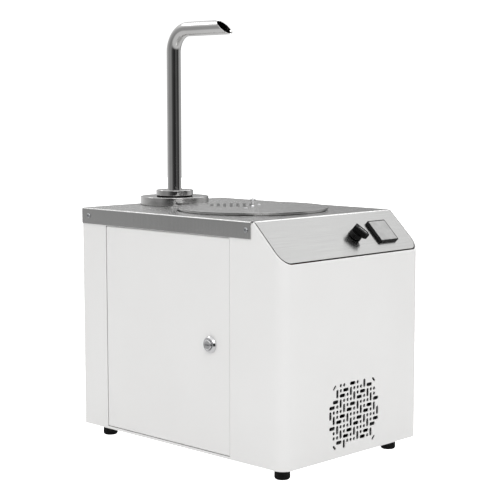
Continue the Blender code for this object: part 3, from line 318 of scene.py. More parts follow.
# Near-black steel for the spout's inner wall: painted shade inside the bore, not the steel's own
# colour.
def painted_shade_bore():
    finish = Finish("painted_shade_bore", (0.030, 0.027, 0.024), 0.6, 0.60)
    finish.tint(finish.noise(200.0, 4.0), (0.018, 0.016, 0.014), (0.045, 0.040, 0.035))
    finish.rough(finish.noise(500.0, 3.0), 0.5, 0.7)
    return finish.material


MATERIALS = {
    maker.__name__: maker()
    for maker in (
        white_powder_coat,
        brushed_steel,
        polished_steel,
        chrome,
        zinc_steel,
        black_rubber,
        black_plastic,
        light_plastic,
        clear_silicone,
        red_silicone,
        green_board,
        anodised_aluminium,
        painted_shade_bore,
    )
}


# Mesh helpers.
def fillet(points, closed=True, steps=6):
    """Rounds the corners of an outline of (x, y, radius) points."""
    result = []
    count = len(points)
    for i, (x, y, radius) in enumerate(points):
        if radius <= 0 or (not closed and i in (0, count - 1)):
            result.append((x, y))
            continue
        corner = Vector((x, y))
        before = Vector(points[i - 1][:2]) - corner
        after = Vector(points[(i + 1) % count][:2]) - corner
        first = before.normalized()
        last = after.normalized()
        half = first.angle(last) / 2
        trim = min(radius / math.tan(half), before.length * 0.49, after.length * 0.49)
        bend = trim * math.tan(half)
        centre = corner + (first + last).normalized() * (bend / math.sin(half))
        start = corner + first * trim - centre
        end = corner + last * trim - centre
        turn = math.atan2(start.x * end.y - start.y * end.x, start.dot(end))
        for k in range(steps + 1):
            angle = turn * k / steps
            result.append(
                (
                    centre.x + start.x * math.cos(angle) - start.y * math.sin(angle),
                    centre.y + start.x * math.sin(angle) + start.y * math.cos(angle),
                )
            )
    return result


def circle(x, y, radius, steps):
    return [
        (x + radius * math.cos(math.tau * i / steps), y + radius * math.sin(math.tau * i / steps))
        for i in range(steps)
    ]


def oblong(x, y, half_length, radius, angle=0.0):
    """A slot with round ends."""
    steps = 8
    points = []
    for end in (0, 1):
        for i in range(steps + 1):
            turn = math.pi * (end + i / steps) - math.pi / 2
            u = (half_length if end == 0 else -half_length) + radius * math.cos(turn)
            v = radius * math.sin(turn)
            points.append(
                (
                    x + u * math.cos(angle) - v * math.sin(angle),
                    y + u * math.sin(angle) + v * math.cos(angle),
                )
            )
    return points


def rectangle(half_x, half_y, radius):
    """Corners of a rectangle, ready for fillet."""
    return [
        (half_x, half_y, radius), (-half_x, half_y, radius),
        (-half_x, -half_y, radius), (half_x, -half_y, radius),
    ]


def revolve(profile, steps, closed=False):
    """Turns (radius, height) points round the Z axis; radius 0 closes an end."""
    bm = bmesh.new()
    rings = []
    for radius, height in profile:
        if radius == 0:
            rings.append([bm.verts.new((0, 0, height))])
            continue
        rings.append([bm.verts.new((x, y, height)) for x, y in circle(0, 0, radius, steps)])
    pairs = list(zip(rings, rings[1:]))
    if closed:
        pairs.append((rings[-1], rings[0]))
    for first, second in pairs:
        for i in range(steps):
            j = (i + 1) % steps
            if len(first) == 1 and len(second) > 1:
                bm.faces.new((first[0], second[j], second[i]))
            elif len(second) == 1 and len(first) > 1:
                bm.faces.new((first[i], first[j], second[0]))
            elif len(first) > 1:
                bm.faces.new((first[i], first[j], second[j], second[i]))
    bmesh.ops.recalc_face_normals(bm, faces=bm.faces)
    return bm


def prism(outline, low, high):
    bm = bmesh.new()
    lower = [bm.verts.new((x, y, low)) for x, y in outline]
    upper = [bm.verts.new((x, y, high)) for x, y in outline]
    bm.faces.new(lower)
    bm.faces.new(upper)
    count = len(outline)
    for i in range(count):
        j = (i + 1) % count
        bm.faces.new((lower[i], lower[j], upper[j], upper[i]))
    bmesh.ops.recalc_face_normals(bm, faces=bm.faces)
    return bm


def slab(outlines, low, high, edge):
    """A flat plate with holes and rounded edges."""
    curve = bpy.data.curves.new("slab", "CURVE")
    curve.dimensions = "2D"
    curve.fill_mode = "BOTH"
    curve.extrude = (high - low) / 2 - edge
    curve.bevel_depth = edge
    curve.bevel_resolution = 2
    curve.offset = -edge
    for outline in outlines:
        spline = curve.splines.new("POLY")
        spline.points.add(len(outline) - 1)
        for point, (x, y) in zip(spline.points, outline):
            point.co = (x, y, 0, 1)
        spline.use_cyclic_u = True
    source = bpy.data.objects.new("slab", curve)
    looks.objects.link(source)
    graph = bpy.context.evaluated_depsgraph_get()
    mesh = bpy.data.meshes.new_from_object(source.evaluated_get(graph))
    bpy.data.objects.remove(source, do_unlink=True)
    bm = bmesh.new()
    bm.from_mesh(mesh)
    bpy.data.meshes.remove(mesh)
    bmesh.ops.remove_doubles(bm, verts=bm.verts, dist=0.000001)
    bmesh.ops.translate(bm, vec=(0, 0, (low + high) / 2), verts=bm.verts)
    bmesh.ops.recalc_face_normals(bm, faces=bm.faces)
    return bm


def merge(*meshes):
    """Several bmeshes as one."""
    whole = bmesh.new()
    for bm in meshes:
        mesh = bpy.data.meshes.new("part")
        bm.to_mesh(mesh)
        bm.free()
        whole.from_mesh(mesh)
        bpy.data.meshes.remove(mesh)
    return whole


def box_middle(node):
    low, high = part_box(node)
    return (low + high) / 2


def moved(bm, matrix):
    bmesh.ops.transform(bm, matrix=matrix, verts=bm.verts)
    return bm


def temporary(bm):
    """An object that lives only while a modifier works on it."""
    mesh = bpy.data.meshes.new("tool")
    bm.to_mesh(mesh)
    bm.free()
    obj = bpy.data.objects.new("tool", mesh)
    looks.objects.link(obj)
    return obj


def carve(bm, tool, operation="DIFFERENCE"):
    """bm cut by, or joined with, another closed bmesh."""
    body = temporary(bm)
    other = temporary(tool)
    boolean = body.modifiers.new("cut", "BOOLEAN")
    boolean.operation = operation
    boolean.solver = "EXACT"
    boolean.object = other
    graph = bpy.context.evaluated_depsgraph_get()
    result = bmesh.new()
    result.from_mesh(body.evaluated_get(graph).data)
    bpy.data.objects.remove(body, do_unlink=True)
    bpy.data.objects.remove(other, do_unlink=True)
    return result


def thicken(bm, thickness):
    """A sheet with its thickness behind its faces."""
    body = temporary(bm)
    solid = body.modifiers.new("sheet", "SOLIDIFY")
    solid.thickness = thickness
    solid.offset = -1.0
    graph = bpy.context.evaluated_depsgraph_get()
    result = bmesh.new()
    result.from_mesh(body.evaluated_get(graph).data)
    bpy.data.objects.remove(body, do_unlink=True)
    return result


def piece(name, bm, slot, body, nodes=(), sharp=32.0, edge=0.0):
    """Makes a finished piece that rides on a body and stands for CAD nodes."""
    mesh = bpy.data.meshes.new(name)
    bm.to_mesh(mesh)
    bm.free()
    for polygon in mesh.polygons:
        polygon.use_smooth = True
    mesh.set_sharp_from_angle(angle=math.radians(sharp))
    obj = bpy.data.objects.new(name, mesh)
    looks.objects.link(obj)
    obj.data.materials.append(MATERIALS[slot])
    if edge > 0:
        bevel = obj.modifiers.new("edge", "BEVEL")
        bevel.width = edge
        bevel.segments = 3
        bevel.limit_method = "ANGLE"
        bevel.angle_limit = math.radians(40)
        bevel.harden_normals = True
    normals = obj.modifiers.new("normals", "WEIGHTED_NORMAL")
    normals.keep_sharp = True
    normals.weight = 80
    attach(obj, body)
    if nodes:
        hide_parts(*nodes)
    return obj


def dress_cad():
    """CAD nodes that stay visible take the finish of their slot."""
    for part in frame["record"]["subparts"]:
        obj = frame["nodes"][part["node"]]
        material = MATERIALS[part["material_slot"]]
        if not obj.data.materials:
            obj.data.materials.append(material)
        for i in range(len(obj.data.materials)):
            obj.data.materials[i] = material


# Cabinet.
def slope_z(y):
    return TOP - SLOPE_DROP * (1 - (y - FRONT) / SLOPE_RUN)


def vent_tool():
    """Long and short slots in a woven order inside a circle, and four slots at a fan's corners."""
    outlines = []
    half = VENT_PITCH / 2
    for row in range(12):
        for column in range(15):
            kind = (column + 8 * row) % 13
            u = column - 7
            v = 6 - row
            x = u * VENT_PITCH
            z = v * VENT_PITCH
            dot = math.hypot(u, v) < VENT_REACH_DOT or (u, v) in VENT_EXTRA_DOTS
            if kind in (6, 12) and math.hypot(u + 0.5, v) < VENT_REACH_LEVEL:
                outlines.append(oblong(x + half, z, half, VENT_SLOT_R))
            elif kind in (1, 10) and math.hypot(u, v - 0.5) < VENT_REACH_UPRIGHT:
                outlines.append(oblong(x, z - half, half, VENT_SLOT_R, math.pi / 2))
            elif kind in (2, 3, 4, 8, 11) and dot:
                outlines.append(circle(x, z, VENT_SLOT_R, 20))
    for sign_x in (-1, 1):
        for sign_z in (-1, 1):
            lean = -sign_x * sign_z * math.pi / 4
            x = sign_x * FAN_PITCH / 2
            z = sign_z * FAN_PITCH / 2
            outlines.append(oblong(x, z, *VENT_CORNER_SLOT, lean))
    tool = merge(*(prism(outline, -0.004, 0.004) for outline in outlines))
    return moved(tool, Matrix.Translation((VENT_X, FRONT, BASE + VENT_RISE)) @ FLIP_X)


def shell_outline(inset):
    """The wall's plan, from the left rear round the front to the right rear."""
    relief = FRONT + SLOPE_RUN + FOLD_RELIEF
    half = HALF_W - inset
    radius = CORNER_R - inset
    points = [(-half, REAR), (-half, relief), (-half, relief - 0.0005)]
    points.append((-half, FRONT + SLOPE_RUN))
    steps = 24
    for i in range(steps + 1):
        angle = math.pi + math.pi / 2 * i / steps
        points.append(
            (
                -HALF_W + CORNER_R + radius * math.cos(angle),
                FRONT + CORNER_R + radius * math.sin(angle),
            )
        )
    return points + [(-x, y) for x, y in reversed(points)]


def cover_screw_places():
    for node in ("cover_screw_fl", "cover_screw_rl", "cover_screw_fr", "cover_screw_rr"):
        middle = box_middle(node)
        yield node, (-1 if middle.x < 0 else 1), middle.y, middle.z


def screw_hole_tool():
    holes = [
        moved(
            prism(circle(0, 0, SCREW_HOLE_R, 20), -0.006, 0.006),
            Matrix.Translation((side * HALF_W, y, z)) @ TO_RIGHT,
        )
        for _, side, y, z in cover_screw_places()
    ]
    return merge(*holes)


def shell():
    bm = bmesh.new()
    columns = []
    outline = shell_outline(0.0)
    inner = shell_outline(LIP)
    for x, y in outline:
        under_cover = y > FRONT + SLOPE_RUN + FOLD_RELIEF - 0.0001
        limit = TOP - (WALL_TOP_DROP if under_cover else LIP_TOP_DROP)
        top = min(slope_z(y), limit)
        columns.append((bm.verts.new((x, y, BASE)), bm.verts.new((x, y, top))))
    for left, right in zip(columns, columns[1:]):
        bm.faces.new((left[0], right[0], right[1], left[1]))
    sloped = [i for i, (_, y) in enumerate(outline) if y < FRONT + SLOPE_RUN - 0.002]
    sloped = [sloped[0] - 1] + sloped + [sloped[-1] + 1]
    lip = [bm.verts.new((*inner[i], slope_z(inner[i][1]))) for i in sloped]
    for k in range(len(sloped) - 1):
        first = columns[sloped[k]][1]
        second = columns[sloped[k + 1]][1]
        bm.faces.new((first, second, lip[k + 1], lip[k]))
    bm.normal_update()
    bm = thicken(bm, SHEET)
    bm = carve(bm, vent_tool())
    low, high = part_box("side_door")
    reach_y = (high.y - low.y + DOOR_FRONT_GAP + DOOR_HINGE_GAP) / 2
    reach_z = (high.z - low.z) / 2 + DOOR_LEVEL_GAP
    middle_y = (low.y + high.y + DOOR_HINGE_GAP - DOOR_FRONT_GAP) / 2
    door_hole = moved(
        prism(fillet(rectangle(reach_y, reach_z, 0.0010), steps=3), -0.01, 0.01),
        Matrix.Translation((-HALF_W, middle_y, (low.z + high.z) / 2))
        @ Matrix.Rotation(math.pi / 2, 4, "Z")
        @ FLIP_X,
    )
    bm = carve(bm, door_hole)
    bm = carve(bm, screw_hole_tool())
    return piece("shell_sheet", bm, "white_powder_coat", "cabinet", ["body_shell"], 30)


def door():
    low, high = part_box("side_door")
    x0 = -HALF_W
    depth = x0 + DOOR_FLANGE
    side = [
        (depth, low.z, 0), (x0, low.z, DOOR_EDGE_R), (x0, high.z, DOOR_EDGE_R), (depth, high.z, 0)
    ]
    rows = fillet(side, closed=False, steps=6)
    bm = bmesh.new()
    front = [bm.verts.new((x, low.y, z)) for x, z in rows]
    rear = [bm.verts.new((x, high.y, z)) for x, z in rows]
    for i in range(len(rows) - 1):
        bm.faces.new((front[i], front[i + 1], rear[i + 1], rear[i]))
    bm.normal_update()
    if min(face.normal.x for face in bm.faces) > -0.9:
        bmesh.ops.reverse_faces(bm, faces=bm.faces)
    bm = thicken(bm, SHEET)
    seat = box_middle("lock_barrel")
    hole = moved(
        prism(circle(0, 0, LOCK_HOLE_R, 48), -0.01, 0.01),
        Matrix.Translation((x0, seat.y, seat.z)) @ TO_RIGHT,
    )
    bm = carve(bm, hole)
    pin = box_middle("door_pin_lower")
    pin_holes = moved(
        prism(circle(0, 0, PIN_HOLE_R, 24), -0.01, 0.30),
        Matrix.Translation((pin.x, pin.y, BASE)),
    )
    bm = carve(bm, pin_holes)
    return piece("door_sheet", bm, "white_powder_coat", "door", ["side_door"], 30, 0.00025)


def cover():
    half = HALF_W - PANEL_INSET
    radius = CORNER_R - PANEL_INSET
    fold = FRONT + SLOPE_RUN
    low = FRONT + PANEL_INSET
    steps = 16
    corner = []
    for i in range(steps + 1):
        angle = math.pi + math.pi / 2 * i / steps
        x = -half + radius * (1 + math.cos(angle))
        corner.append((x, low + radius * (1 + math.sin(angle))))
    lower = corner + [(-x, y) for x, y in reversed(corner)]
    bm = bmesh.new()
    slope = [bm.verts.new((x, y, slope_z(y))) for x, y in lower]
    fold_left = bm.verts.new((-half, fold, TOP))
    fold_right = bm.verts.new((half, fold, TOP))
    bm.faces.new([fold_left] + slope + [fold_right])
    top = {}
    for side in (-1, 1):
        for name, y, z in (
            ("front", fold + FOLD_RELIEF, TOP),
            ("rear", REAR, TOP),
            ("low_front", fold + FOLD_RELIEF, TOP - COVER_FLANGE),
            ("low_rear", REAR, TOP - COVER_FLANGE),
        ):
            top[side, name] = bm.verts.new((side * COVER_HALF_W, y, z))
        bm.faces.new([top[side, n] for n in ("front", "rear", "low_rear", "low_front")])
    relief_left = bm.verts.new((-half, fold + FOLD_RELIEF, TOP))
    relief_right = bm.verts.new((half, fold + FOLD_RELIEF, TOP))
    bm.faces.new(
        (
            top[-1, "front"], relief_left, fold_left, fold_right, relief_right, top[1, "front"],
            top[1, "rear"], top[-1, "rear"],
        )
    )
    bmesh.ops.recalc_face_normals(bm, faces=bm.faces)
    bends = [e for e in bm.edges if len(e.link_faces) == 2 and e.calc_length() > 0.1]
    bmesh.ops.bevel(bm, geom=bends, offset=COVER_BEND_R, segments=8, affect="EDGES", profile=0.5)
    bmesh.ops.recalc_face_normals(bm, faces=bm.faces)
    if max(face.normal.z for face in bm.faces) < 0.9:
        bmesh.ops.reverse_faces(bm, faces=bm.faces)
    bm = thicken(bm, COVER_SHEET)
    lid_middle = box_middle("tank_lid")
    spout_middle = box_middle("spout_base")
    holes = merge(
        moved(
            prism(circle(0, 0, LID_HOLE_R, 128), -0.01, 0.01),
            Matrix.Translation((lid_middle.x, lid_middle.y, TOP)),
        ),
        moved(
            prism(circle(0, 0, SPOUT_HOLE_R, 64), -0.01, 0.01),
            Matrix.Translation((spout_middle.x, spout_middle.y, TOP)),
        ),
        moved(
            prism(circle(0, 0, KNOB_HOLE_R, 32), -0.01, 0.01),
            SLOPE @ Matrix.Translation((KNOB_X, -KNOB_T, 0)),
        ),
        moved(
            prism(fillet(rectangle(0.0143, 0.0130, 0.001)), -0.01, 0.01),
            SLOPE @ Matrix.Translation((SWITCH_X, -SWITCH_T, 0)),
        ),
        screw_hole_tool(),
    )
    bm = carve(bm, holes)
    return piece("cover_sheet", bm, "brushed_steel", "cabinet", ["top_cover"], 25)


def cover_screws():
    profile = fillet(
        [
            (0, 0.0017, 0), (0.0024, 0.0014, 0.0010), (0.0030, 0.0004, 0.0003),
            (0.0029, 0.0, 0.0001), (0.0015, 0.0, 0), (0.0015, -0.0060, 0), (0, -0.0060, 0),
        ],
        closed=False,
    )
    for node, side, y, z in cover_screw_places():
        bm = revolve(profile, 40)
        for turn in (0, 90):
            arm = prism(fillet(rectangle(0.0016, 0.00028, 0.00012), steps=2), 0.0007, 0.01)
            bm = carve(bm, moved(arm, Matrix.Rotation(math.radians(turn + 20), 4, "Z")))
        outward = TO_RIGHT if side > 0 else TO_LEFT
        moved(bm, Matrix.Translation((side * (COVER_HALF_W + 0.0001), y, z)) @ outward)
        piece(node.replace("cover_screw", "flange_screw"), bm, "zinc_steel", "cabinet", [node])


def feet():
    profile = fillet(
        [
            (0, 0.0, 0), (0.0080, 0.0, 0.0008), (0.0094, 0.0020, 0.0018), (0.0091, 0.0163, 0.0006),
            (0.0036, 0.0163, 0), (0.0036, 0.0183, 0), (0.0048, 0.0183, 0.0002),
            (0.0048, 0.0192, 0.0004), (0.0030, 0.0205, 0.0004), (0, 0.0205, 0),
        ],
        closed=False,
        steps=4,
    )
    for node in ("foot_fl", "foot_fr", "foot_rl", "foot_rr"):
        middle = box_middle(node)
        bm = moved(revolve(profile, 48), Matrix.Translation((middle.x, middle.y, 0)))
        piece(node.replace("foot", "rubber_foot"), bm, "black_rubber", "cabinet", [node])


def back_panel():
    low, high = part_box("rear_panel")
    half_x = (high.x - low.x) / 2
    half_z = (high.z - low.z) / 2
    outlines = [fillet(rectangle(half_x, half_z, 0.0008), steps=3)]
    middle_z = (high.z + low.z) / 2
    for x in (-0.031, 0.031):
        for z in (0.0, 0.009, 0.018, 0.027, 0.036):
            outlines.append(oblong(x, BASE + 0.040 + z - middle_z, 0.0140, 0.0015))
    inlet = fillet(rectangle(0.0141, 0.0102, 0.0015), steps=3)
    outlines.append([(x + INLET_X, z + BASE + INLET_RISE - middle_z) for x, z in inlet])
    bm = slab(outlines, 0.0, SHEET, 0.0001)
    turn = Matrix.Translation((0, REAR, middle_z)) @ FLIP_X
    piece("back_sheet", moved(bm, turn), "white_powder_coat", "cabinet", ["rear_panel"], 30)


# Lock.
def lock():
    middle = box_middle("lock_barrel")
    seat = Matrix.Translation((-HALF_W, middle.y, middle.z)) @ TO_LEFT
    barrel = fillet(
        [
            (0.0060, 0.0034, 0.0002), (0.0070, 0.0040, 0.0010), (0.0085, 0.0037, 0.0020),
            (0.0103, 0.0014, 0.0006), (0.0103, 0.0003, 0.0001), (0.0078, 0.0003, 0),
            (0.0078, -0.0130, 0.0003), (0.0060, -0.0130, 0.0002),
        ],
        steps=5,
    )
    bm = moved(revolve(barrel, 72, closed=True), seat)
    piece("lock_ring", bm, "chrome", "door", ["lock_barrel"])
    core = fillet(
        [
            (0, 0.0052, 0), (0.0050, 0.0052, 0.0004), (0.0057, 0.0046, 0.0002),
            (0.0057, -0.0152, 0), (0, -0.0152, 0),
        ],
        closed=False,
    )
    bm = revolve(core, 64)
    slot = prism(fillet(rectangle(0.0007, 0.0034, 0.0003), steps=3), 0.0010, 0.01)
    bm = carve(bm, slot)
    for angle in (90, 270):
        notch = prism(circle(0.0044, 0, 0.00045, 16), 0.0045, 0.01)
        bm = carve(bm, moved(notch, Matrix.Rotation(math.radians(angle), 4, "Z")))
    piece("lock_face", moved(bm, seat), "chrome", "lock_plug", ["lock_core"])


# Tank lid.
def lid():
    low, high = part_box("tank_lid")
    middle = (low + high) / 2
    radius = (high.x - low.x) / 2
    place = Matrix.Translation((middle.x, middle.y, 0))
    outlines = []
    reach = int(DRAIN_R / DRAIN_PITCH) + 1
    for i in range(-reach, reach + 1):
        for j in range(-reach, reach + 1):
            x = (i - j) * DRAIN_PITCH * math.sqrt(0.5)
            y = (i + j) * DRAIN_PITCH * math.sqrt(0.5)
            if math.hypot(x, y) <= DRAIN_R:
                outlines.append(circle(x, y + DRAIN_Y - middle.y, DRAIN_HOLE_R, 24))
    outlines.append(circle(0, 0, LID_STUD_HOLE_R, 20))
    for node in ("lid_rivet_left", "lid_rivet_right"):
        spot = box_middle(node) - middle
        outlines.append(circle(spot.x, spot.y, LID_STUD_HOLE_R, 20))
    rim = []
    for i in range(240):
        angle = math.tau * i / 240
        dent = math.sin(5 * angle + 0.6) + 0.8 * math.sin(11 * angle) + 0.5 * math.sin(23 * angle)
        rim_radius = radius - 0.0004 - LID_WAVE * dent
        rim.append((rim_radius * math.cos(angle), rim_radius * math.sin(angle)))
    plate = slab([rim], high.z - LID_SHEET, high.z, 0.0003)
    holes = merge(*(prism(outline, high.z - 0.01, high.z + 0.01) for outline in outlines))
    plate = moved(carve(plate, holes), place)
    skirt_top = high.z - LID_SHEET - 0.0001
    inside, outside = LID_SKIRT
    skirt = fillet(
        [
            (outside, skirt_top, 0), (outside, low.z, 0.0003),
            (inside, low.z, 0.0003), (inside, skirt_top, 0),
        ],
        steps=3,
    )
    piece("lid_plate", plate, "brushed_steel", "lid", ["tank_lid"], 30)
    piece("lid_skirt", moved(revolve(skirt, 128, closed=True), place), "brushed_steel", "lid")


def lid_hardware():
    low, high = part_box("lid_knob")
    seat = high.z - LID_KNOB_H
    profile = fillet(
        [
            (0, LID_KNOB_H, 0), (0.0026, 0.0107, 0.0012), (0.0038, 0.0094, 0.0010),
            (0.0036, 0.0076, 0.0010), (0.0024, 0.0056, 0.0020), (0.0018, 0.0022, 0.0010),
            (0.0028, 0.0003, 0.0002), (0.0010, 0.0003, 0), (0.0010, -0.0050, 0), (0, -0.0050, 0),
        ],
        closed=False,
    )
    place = Matrix.Translation(((low.x + high.x) / 2, (low.y + high.y) / 2, seat))
    piece("lid_pull", moved(revolve(profile, 48), place), "chrome", "lid", ["lid_knob"])
    dome = fillet(
        [
            (0, LID_STUD_H, 0), (0.0016, 0.0012, 0.0008), (0.0022, 0.0003, 0.0001),
            (0.0010, 0.0003, 0), (0.0010, -0.0032, 0), (0, -0.0032, 0),
        ],
        closed=False,
    )
    for node in ("lid_rivet_left", "lid_rivet_right"):
        low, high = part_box(node)
        middle = (low + high) / 2
        place = Matrix.Translation((middle.x, middle.y, high.z - LID_STUD_H))
        bm = moved(revolve(dome, 32), place)
        piece(node.replace("rivet", "stud"), bm, "chrome", "lid", [node])


# Spout.
def spout_discs():
    low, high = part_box("spout_base")
    middle = (low + high) / 2
    radius = (high.x - low.x) / 2
    foot = TOP + 0.0003
    base = fillet(
        [
            (SPOUT_BORE_R, high.z, 0.0001), (radius, high.z, 0.0007), (radius, foot, 0.0005),
            (0.0212, foot, 0), (0.0212, low.z, 0.0002), (0.0180, low.z, 0.0002),
            (0.0180, foot, 0), (SPOUT_BORE_R, foot + 0.0040, 0),
        ],
        steps=6,
    )
    place = Matrix.Translation((middle.x, middle.y, 0))
    bm = moved(revolve(base, 128, closed=True), place)
    piece("spout_flange", bm, "polished_steel", "cabinet", ["spout_base"])
    low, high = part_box("spout_collar")
    radius = (high.x - low.x) / 2
    collar = fillet(
        [
            (COLLAR_BORE_R, high.z, 0.0002), (radius, high.z, 0.0008),
            (radius, low.z, 0.0004), (COLLAR_BORE_R, low.z, 0.0001),
        ],
        steps=6,
    )
    bm = moved(revolve(collar, 112, closed=True), place)
    piece("spout_ferrule", bm, "polished_steel", "spout", ["spout_collar"])


def spout_path(start, height):
    """The tube's middle line: up, round the bend and forward past the mouth."""
    far = -SPOUT_LOW_LIP - 0.006
    points = [Vector((0, 0, start + (height - SPOUT_BEND_R - start) * i / 8)) for i in range(9)]
    centre = Vector((0, -SPOUT_BEND_R, height - SPOUT_BEND_R))
    steps = 32
    for i in range(1, steps + 1):
        angle = math.pi / 2 * i / steps
        points.append(
            centre + Vector((0, SPOUT_BEND_R * math.cos(angle), SPOUT_BEND_R * math.sin(angle)))
        )
    for i in range(1, 9):
        points.append(Vector((0, -SPOUT_BEND_R + (far + SPOUT_BEND_R) * i / 8, height)))
    return points


def spout():
    low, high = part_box("spout_tube")
    radius = (high.x - low.x) / 2
    axis_x = (low.x + high.x) / 2
    axis_y = high.y - radius
    height = high.z - radius
    path = spout_path(low.z, height)
    sides = 64
    lean = (SPOUT_LOW_LIP - SPOUT_TOP_LIP) / (2 * radius)
    middle = (SPOUT_LOW_LIP + SPOUT_TOP_LIP) / 2
    across = Vector((1, 0, 0))
    bm = bmesh.new()
    walls = []
    for wall in (radius, radius - SPOUT_WALL):
        rings = []
        for i, point in enumerate(path):
            ahead = path[min(i + 1, len(path) - 1)] - path[max(i - 1, 0)]
            up = across.cross(ahead.normalized())
            ring = []
            for k in range(sides):
                angle = math.tau * k / sides
                spot = point + across * wall * math.cos(angle) + up * wall * math.sin(angle)
                if i > 16:
                    limit = -(middle - (spot.z - height) * lean)
                    spot.y = max(spot.y, limit) if i < len(path) - 1 else limit
                ring.append(bm.verts.new(spot))
            rings.append(ring)
        walls.append(rings)
    for rings in walls:
        for first, second in zip(rings, rings[1:]):
            for k in range(sides):
                j = (k + 1) % sides
                bm.faces.new((first[k], first[j], second[j], second[k]))
    for end in (0, -1):
        outer = walls[0][end]
        inner = walls[1][end]
        for k in range(sides):
            j = (k + 1) % sides
            bm.faces.new((outer[k], outer[j], inner[j], inner[k]))
    bmesh.ops.dissolve_degenerate(bm, edges=bm.edges, dist=0.000001)
    bmesh.ops.recalc_face_normals(bm, faces=bm.faces)
    # Faces of the inner wall take the second material, the near-black painted shade of the bore.
    for face in bm.faces:
        centre = face.calc_center_median()
        from_axis = min((point - centre).length for point in path)
        face.material_index = 1 if from_axis < radius - SPOUT_WALL * 0.5 else 0
    moved(bm, Matrix.Translation((axis_x, axis_y, 0)))
    obj = piece("spout_pipe", bm, "polished_steel", "spout", ["spout_tube"], 40)
    obj.data.materials.append(MATERIALS["painted_shade_bore"])


# Control panel.
def on_slope(bm, x, t, turn=0.0):
    """Puts a part on the sloped panel, t below the fold."""
    place = Matrix.Translation((x, -t, 0)) @ Matrix.Rotation(math.radians(turn), 4, "Z")
    return moved(bm, SLOPE @ place)


def knob():
    profile = fillet(
        [
            (0, KNOB_SKIRT_TOP, 0), (0.0076, KNOB_SKIRT_TOP, 0.0005), (0.0079, 0.0060, 0.0004),
            (0.0085, 0.0008, 0.0004), (0.0066, 0.0008, 0), (0.0064, 0.0048, 0),
            (0.0031, 0.0048, 0), (0.0031, 0.0058, 0), (0, 0.0058, 0),
        ],
        closed=False,
        steps=4,
    )
    skirt = revolve(profile, 72)
    grip_outline = fillet(
        [
            (-0.0078, -0.0037, 0.0014), (0.0095, -0.0037, 0.0010), (0.0129, 0.0, 0.0005),
            (0.0095, 0.0037, 0.0010), (-0.0078, 0.0037, 0.0014),
        ],
        steps=5,
    )
    grip = slab([grip_outline], *KNOB_GRIP, 0.0006)
    bm = on_slope(carve(skirt, grip, "UNION"), KNOB_X, KNOB_T, KNOB_TURN)
    piece("knob_body", bm, "black_plastic", "knob", ["speed_knob"])
    mark = slab([oblong(0.0030, 0, 0.0052, 0.0004)], 0.0136, 0.01385, 0.00004)
    piece("knob_mark", on_slope(mark, KNOB_X, KNOB_T, KNOB_TURN), "light_plastic", "knob")


def switch():
    frame_outline = fillet(rectangle(0.0165, 0.01625, 0.0014), steps=4)
    bm = slab([frame_outline], *SWITCH_FRAME, 0.0004)
    neck = prism(fillet(rectangle(0.0140, 0.0127, 0.0008), steps=3), -0.0250, 0.0020)
    bm = carve(bm, neck, "UNION")
    bm = carve(bm, prism(fillet(rectangle(0.0152, 0.0150, 0.0010), steps=3), 0.0012, 0.02))
    bm = carve(bm, prism(fillet(rectangle(0.0126, 0.0114, 0.0006), steps=3), -0.0090, 0.0015))
    for sign in (-1, 1):
        tab_outline = [(-0.004, 0.0), (0.004, 0.0), (0.004, 0.0016), (-0.004, 0.0016)]
        tab = prism(tab_outline, -0.0160, -0.0020)
        turn = Matrix.Rotation(0 if sign > 0 else math.pi, 4, "Z")
        bm = carve(bm, moved(tab, turn @ Matrix.Translation((0, 0.0122, 0))), "UNION")
    bm = on_slope(bm, SWITCH_X, SWITCH_T)
    piece("switch_body", bm, "black_plastic", "cabinet", ["switch_housing"])
    shield = slab([fillet(rectangle(0.0149, 0.0147, 0.0010), steps=4)], *SWITCH_SHIELD, 0.0003)
    shield = on_slope(shield, SWITCH_X, SWITCH_T)
    piece("switch_shield", shield, "clear_silicone", "cabinet", ["switch_cover"])


# Studio.
def floor():
    material = bpy.data.materials.new("pale_floor")
    material.use_nodes = True
    nodes = material.node_tree.nodes
    links = material.node_tree.links
    shader = nodes["Principled BSDF"]
    shader.inputs["Base Color"].default_value = (0.80, 0.80, 0.80, 1.0)
    shader.inputs["Roughness"].default_value = 0.9
    shader.inputs["Specular IOR Level"].default_value = 0.0
    shader.inputs["Emission Color"].default_value = (1.0, 1.0, 1.0, 1.0)
    shader.inputs["Emission Strength"].default_value = 0.30
    glow = nodes.new("ShaderNodeEmission")
    glow.inputs["Strength"].default_value = 0.92
    add = nodes.new("ShaderNodeAddShader")
    mix = nodes.new("ShaderNodeMixShader")
    path = nodes.new("ShaderNodeLightPath")
    links.new(shader.outputs[0], add.inputs[0])
    links.new(glow.outputs[0], add.inputs[1])
    links.new(path.outputs["Is Camera Ray"], mix.inputs["Fac"])
    links.new(shader.outputs[0], mix.inputs[1])
    links.new(add.outputs[0], mix.inputs[2])
    links.new(mix.outputs[0], nodes["Material Output"].inputs["Surface"])
    bm = bmesh.new()
    bmesh.ops.create_circle(bm, cap_ends=True, segments=96, radius=6.0)
    mesh = bpy.data.meshes.new("floor")
    bm.to_mesh(mesh)
    bm.free()
    obj = bpy.data.objects.new("floor", mesh)
    looks.objects.link(obj)
    obj.data.materials.append(material)
    obj.visible_glossy = False


def ramp(tree, factor, stops):
    node = tree.nodes.new("ShaderNodeValToRGB")
    tree.links.new(factor, node.inputs["Fac"])
    elements = node.color_ramp.elements
    while len(elements) < len(stops):
        elements.new(0.5)
    for element, (position, value) in zip(elements, stops):
        element.position = position
        element.color = (value, value, value, 1.0)
    return node.outputs["Color"]


def span(tree, factor, start, end):
    node = tree.nodes.new("ShaderNodeMapRange")
    node.interpolation_type = "SMOOTHSTEP"
    node.inputs["From Min"].default_value = start
    node.inputs["From Max"].default_value = end
    tree.links.new(factor, node.inputs["Value"])
    return node.outputs["Result"]


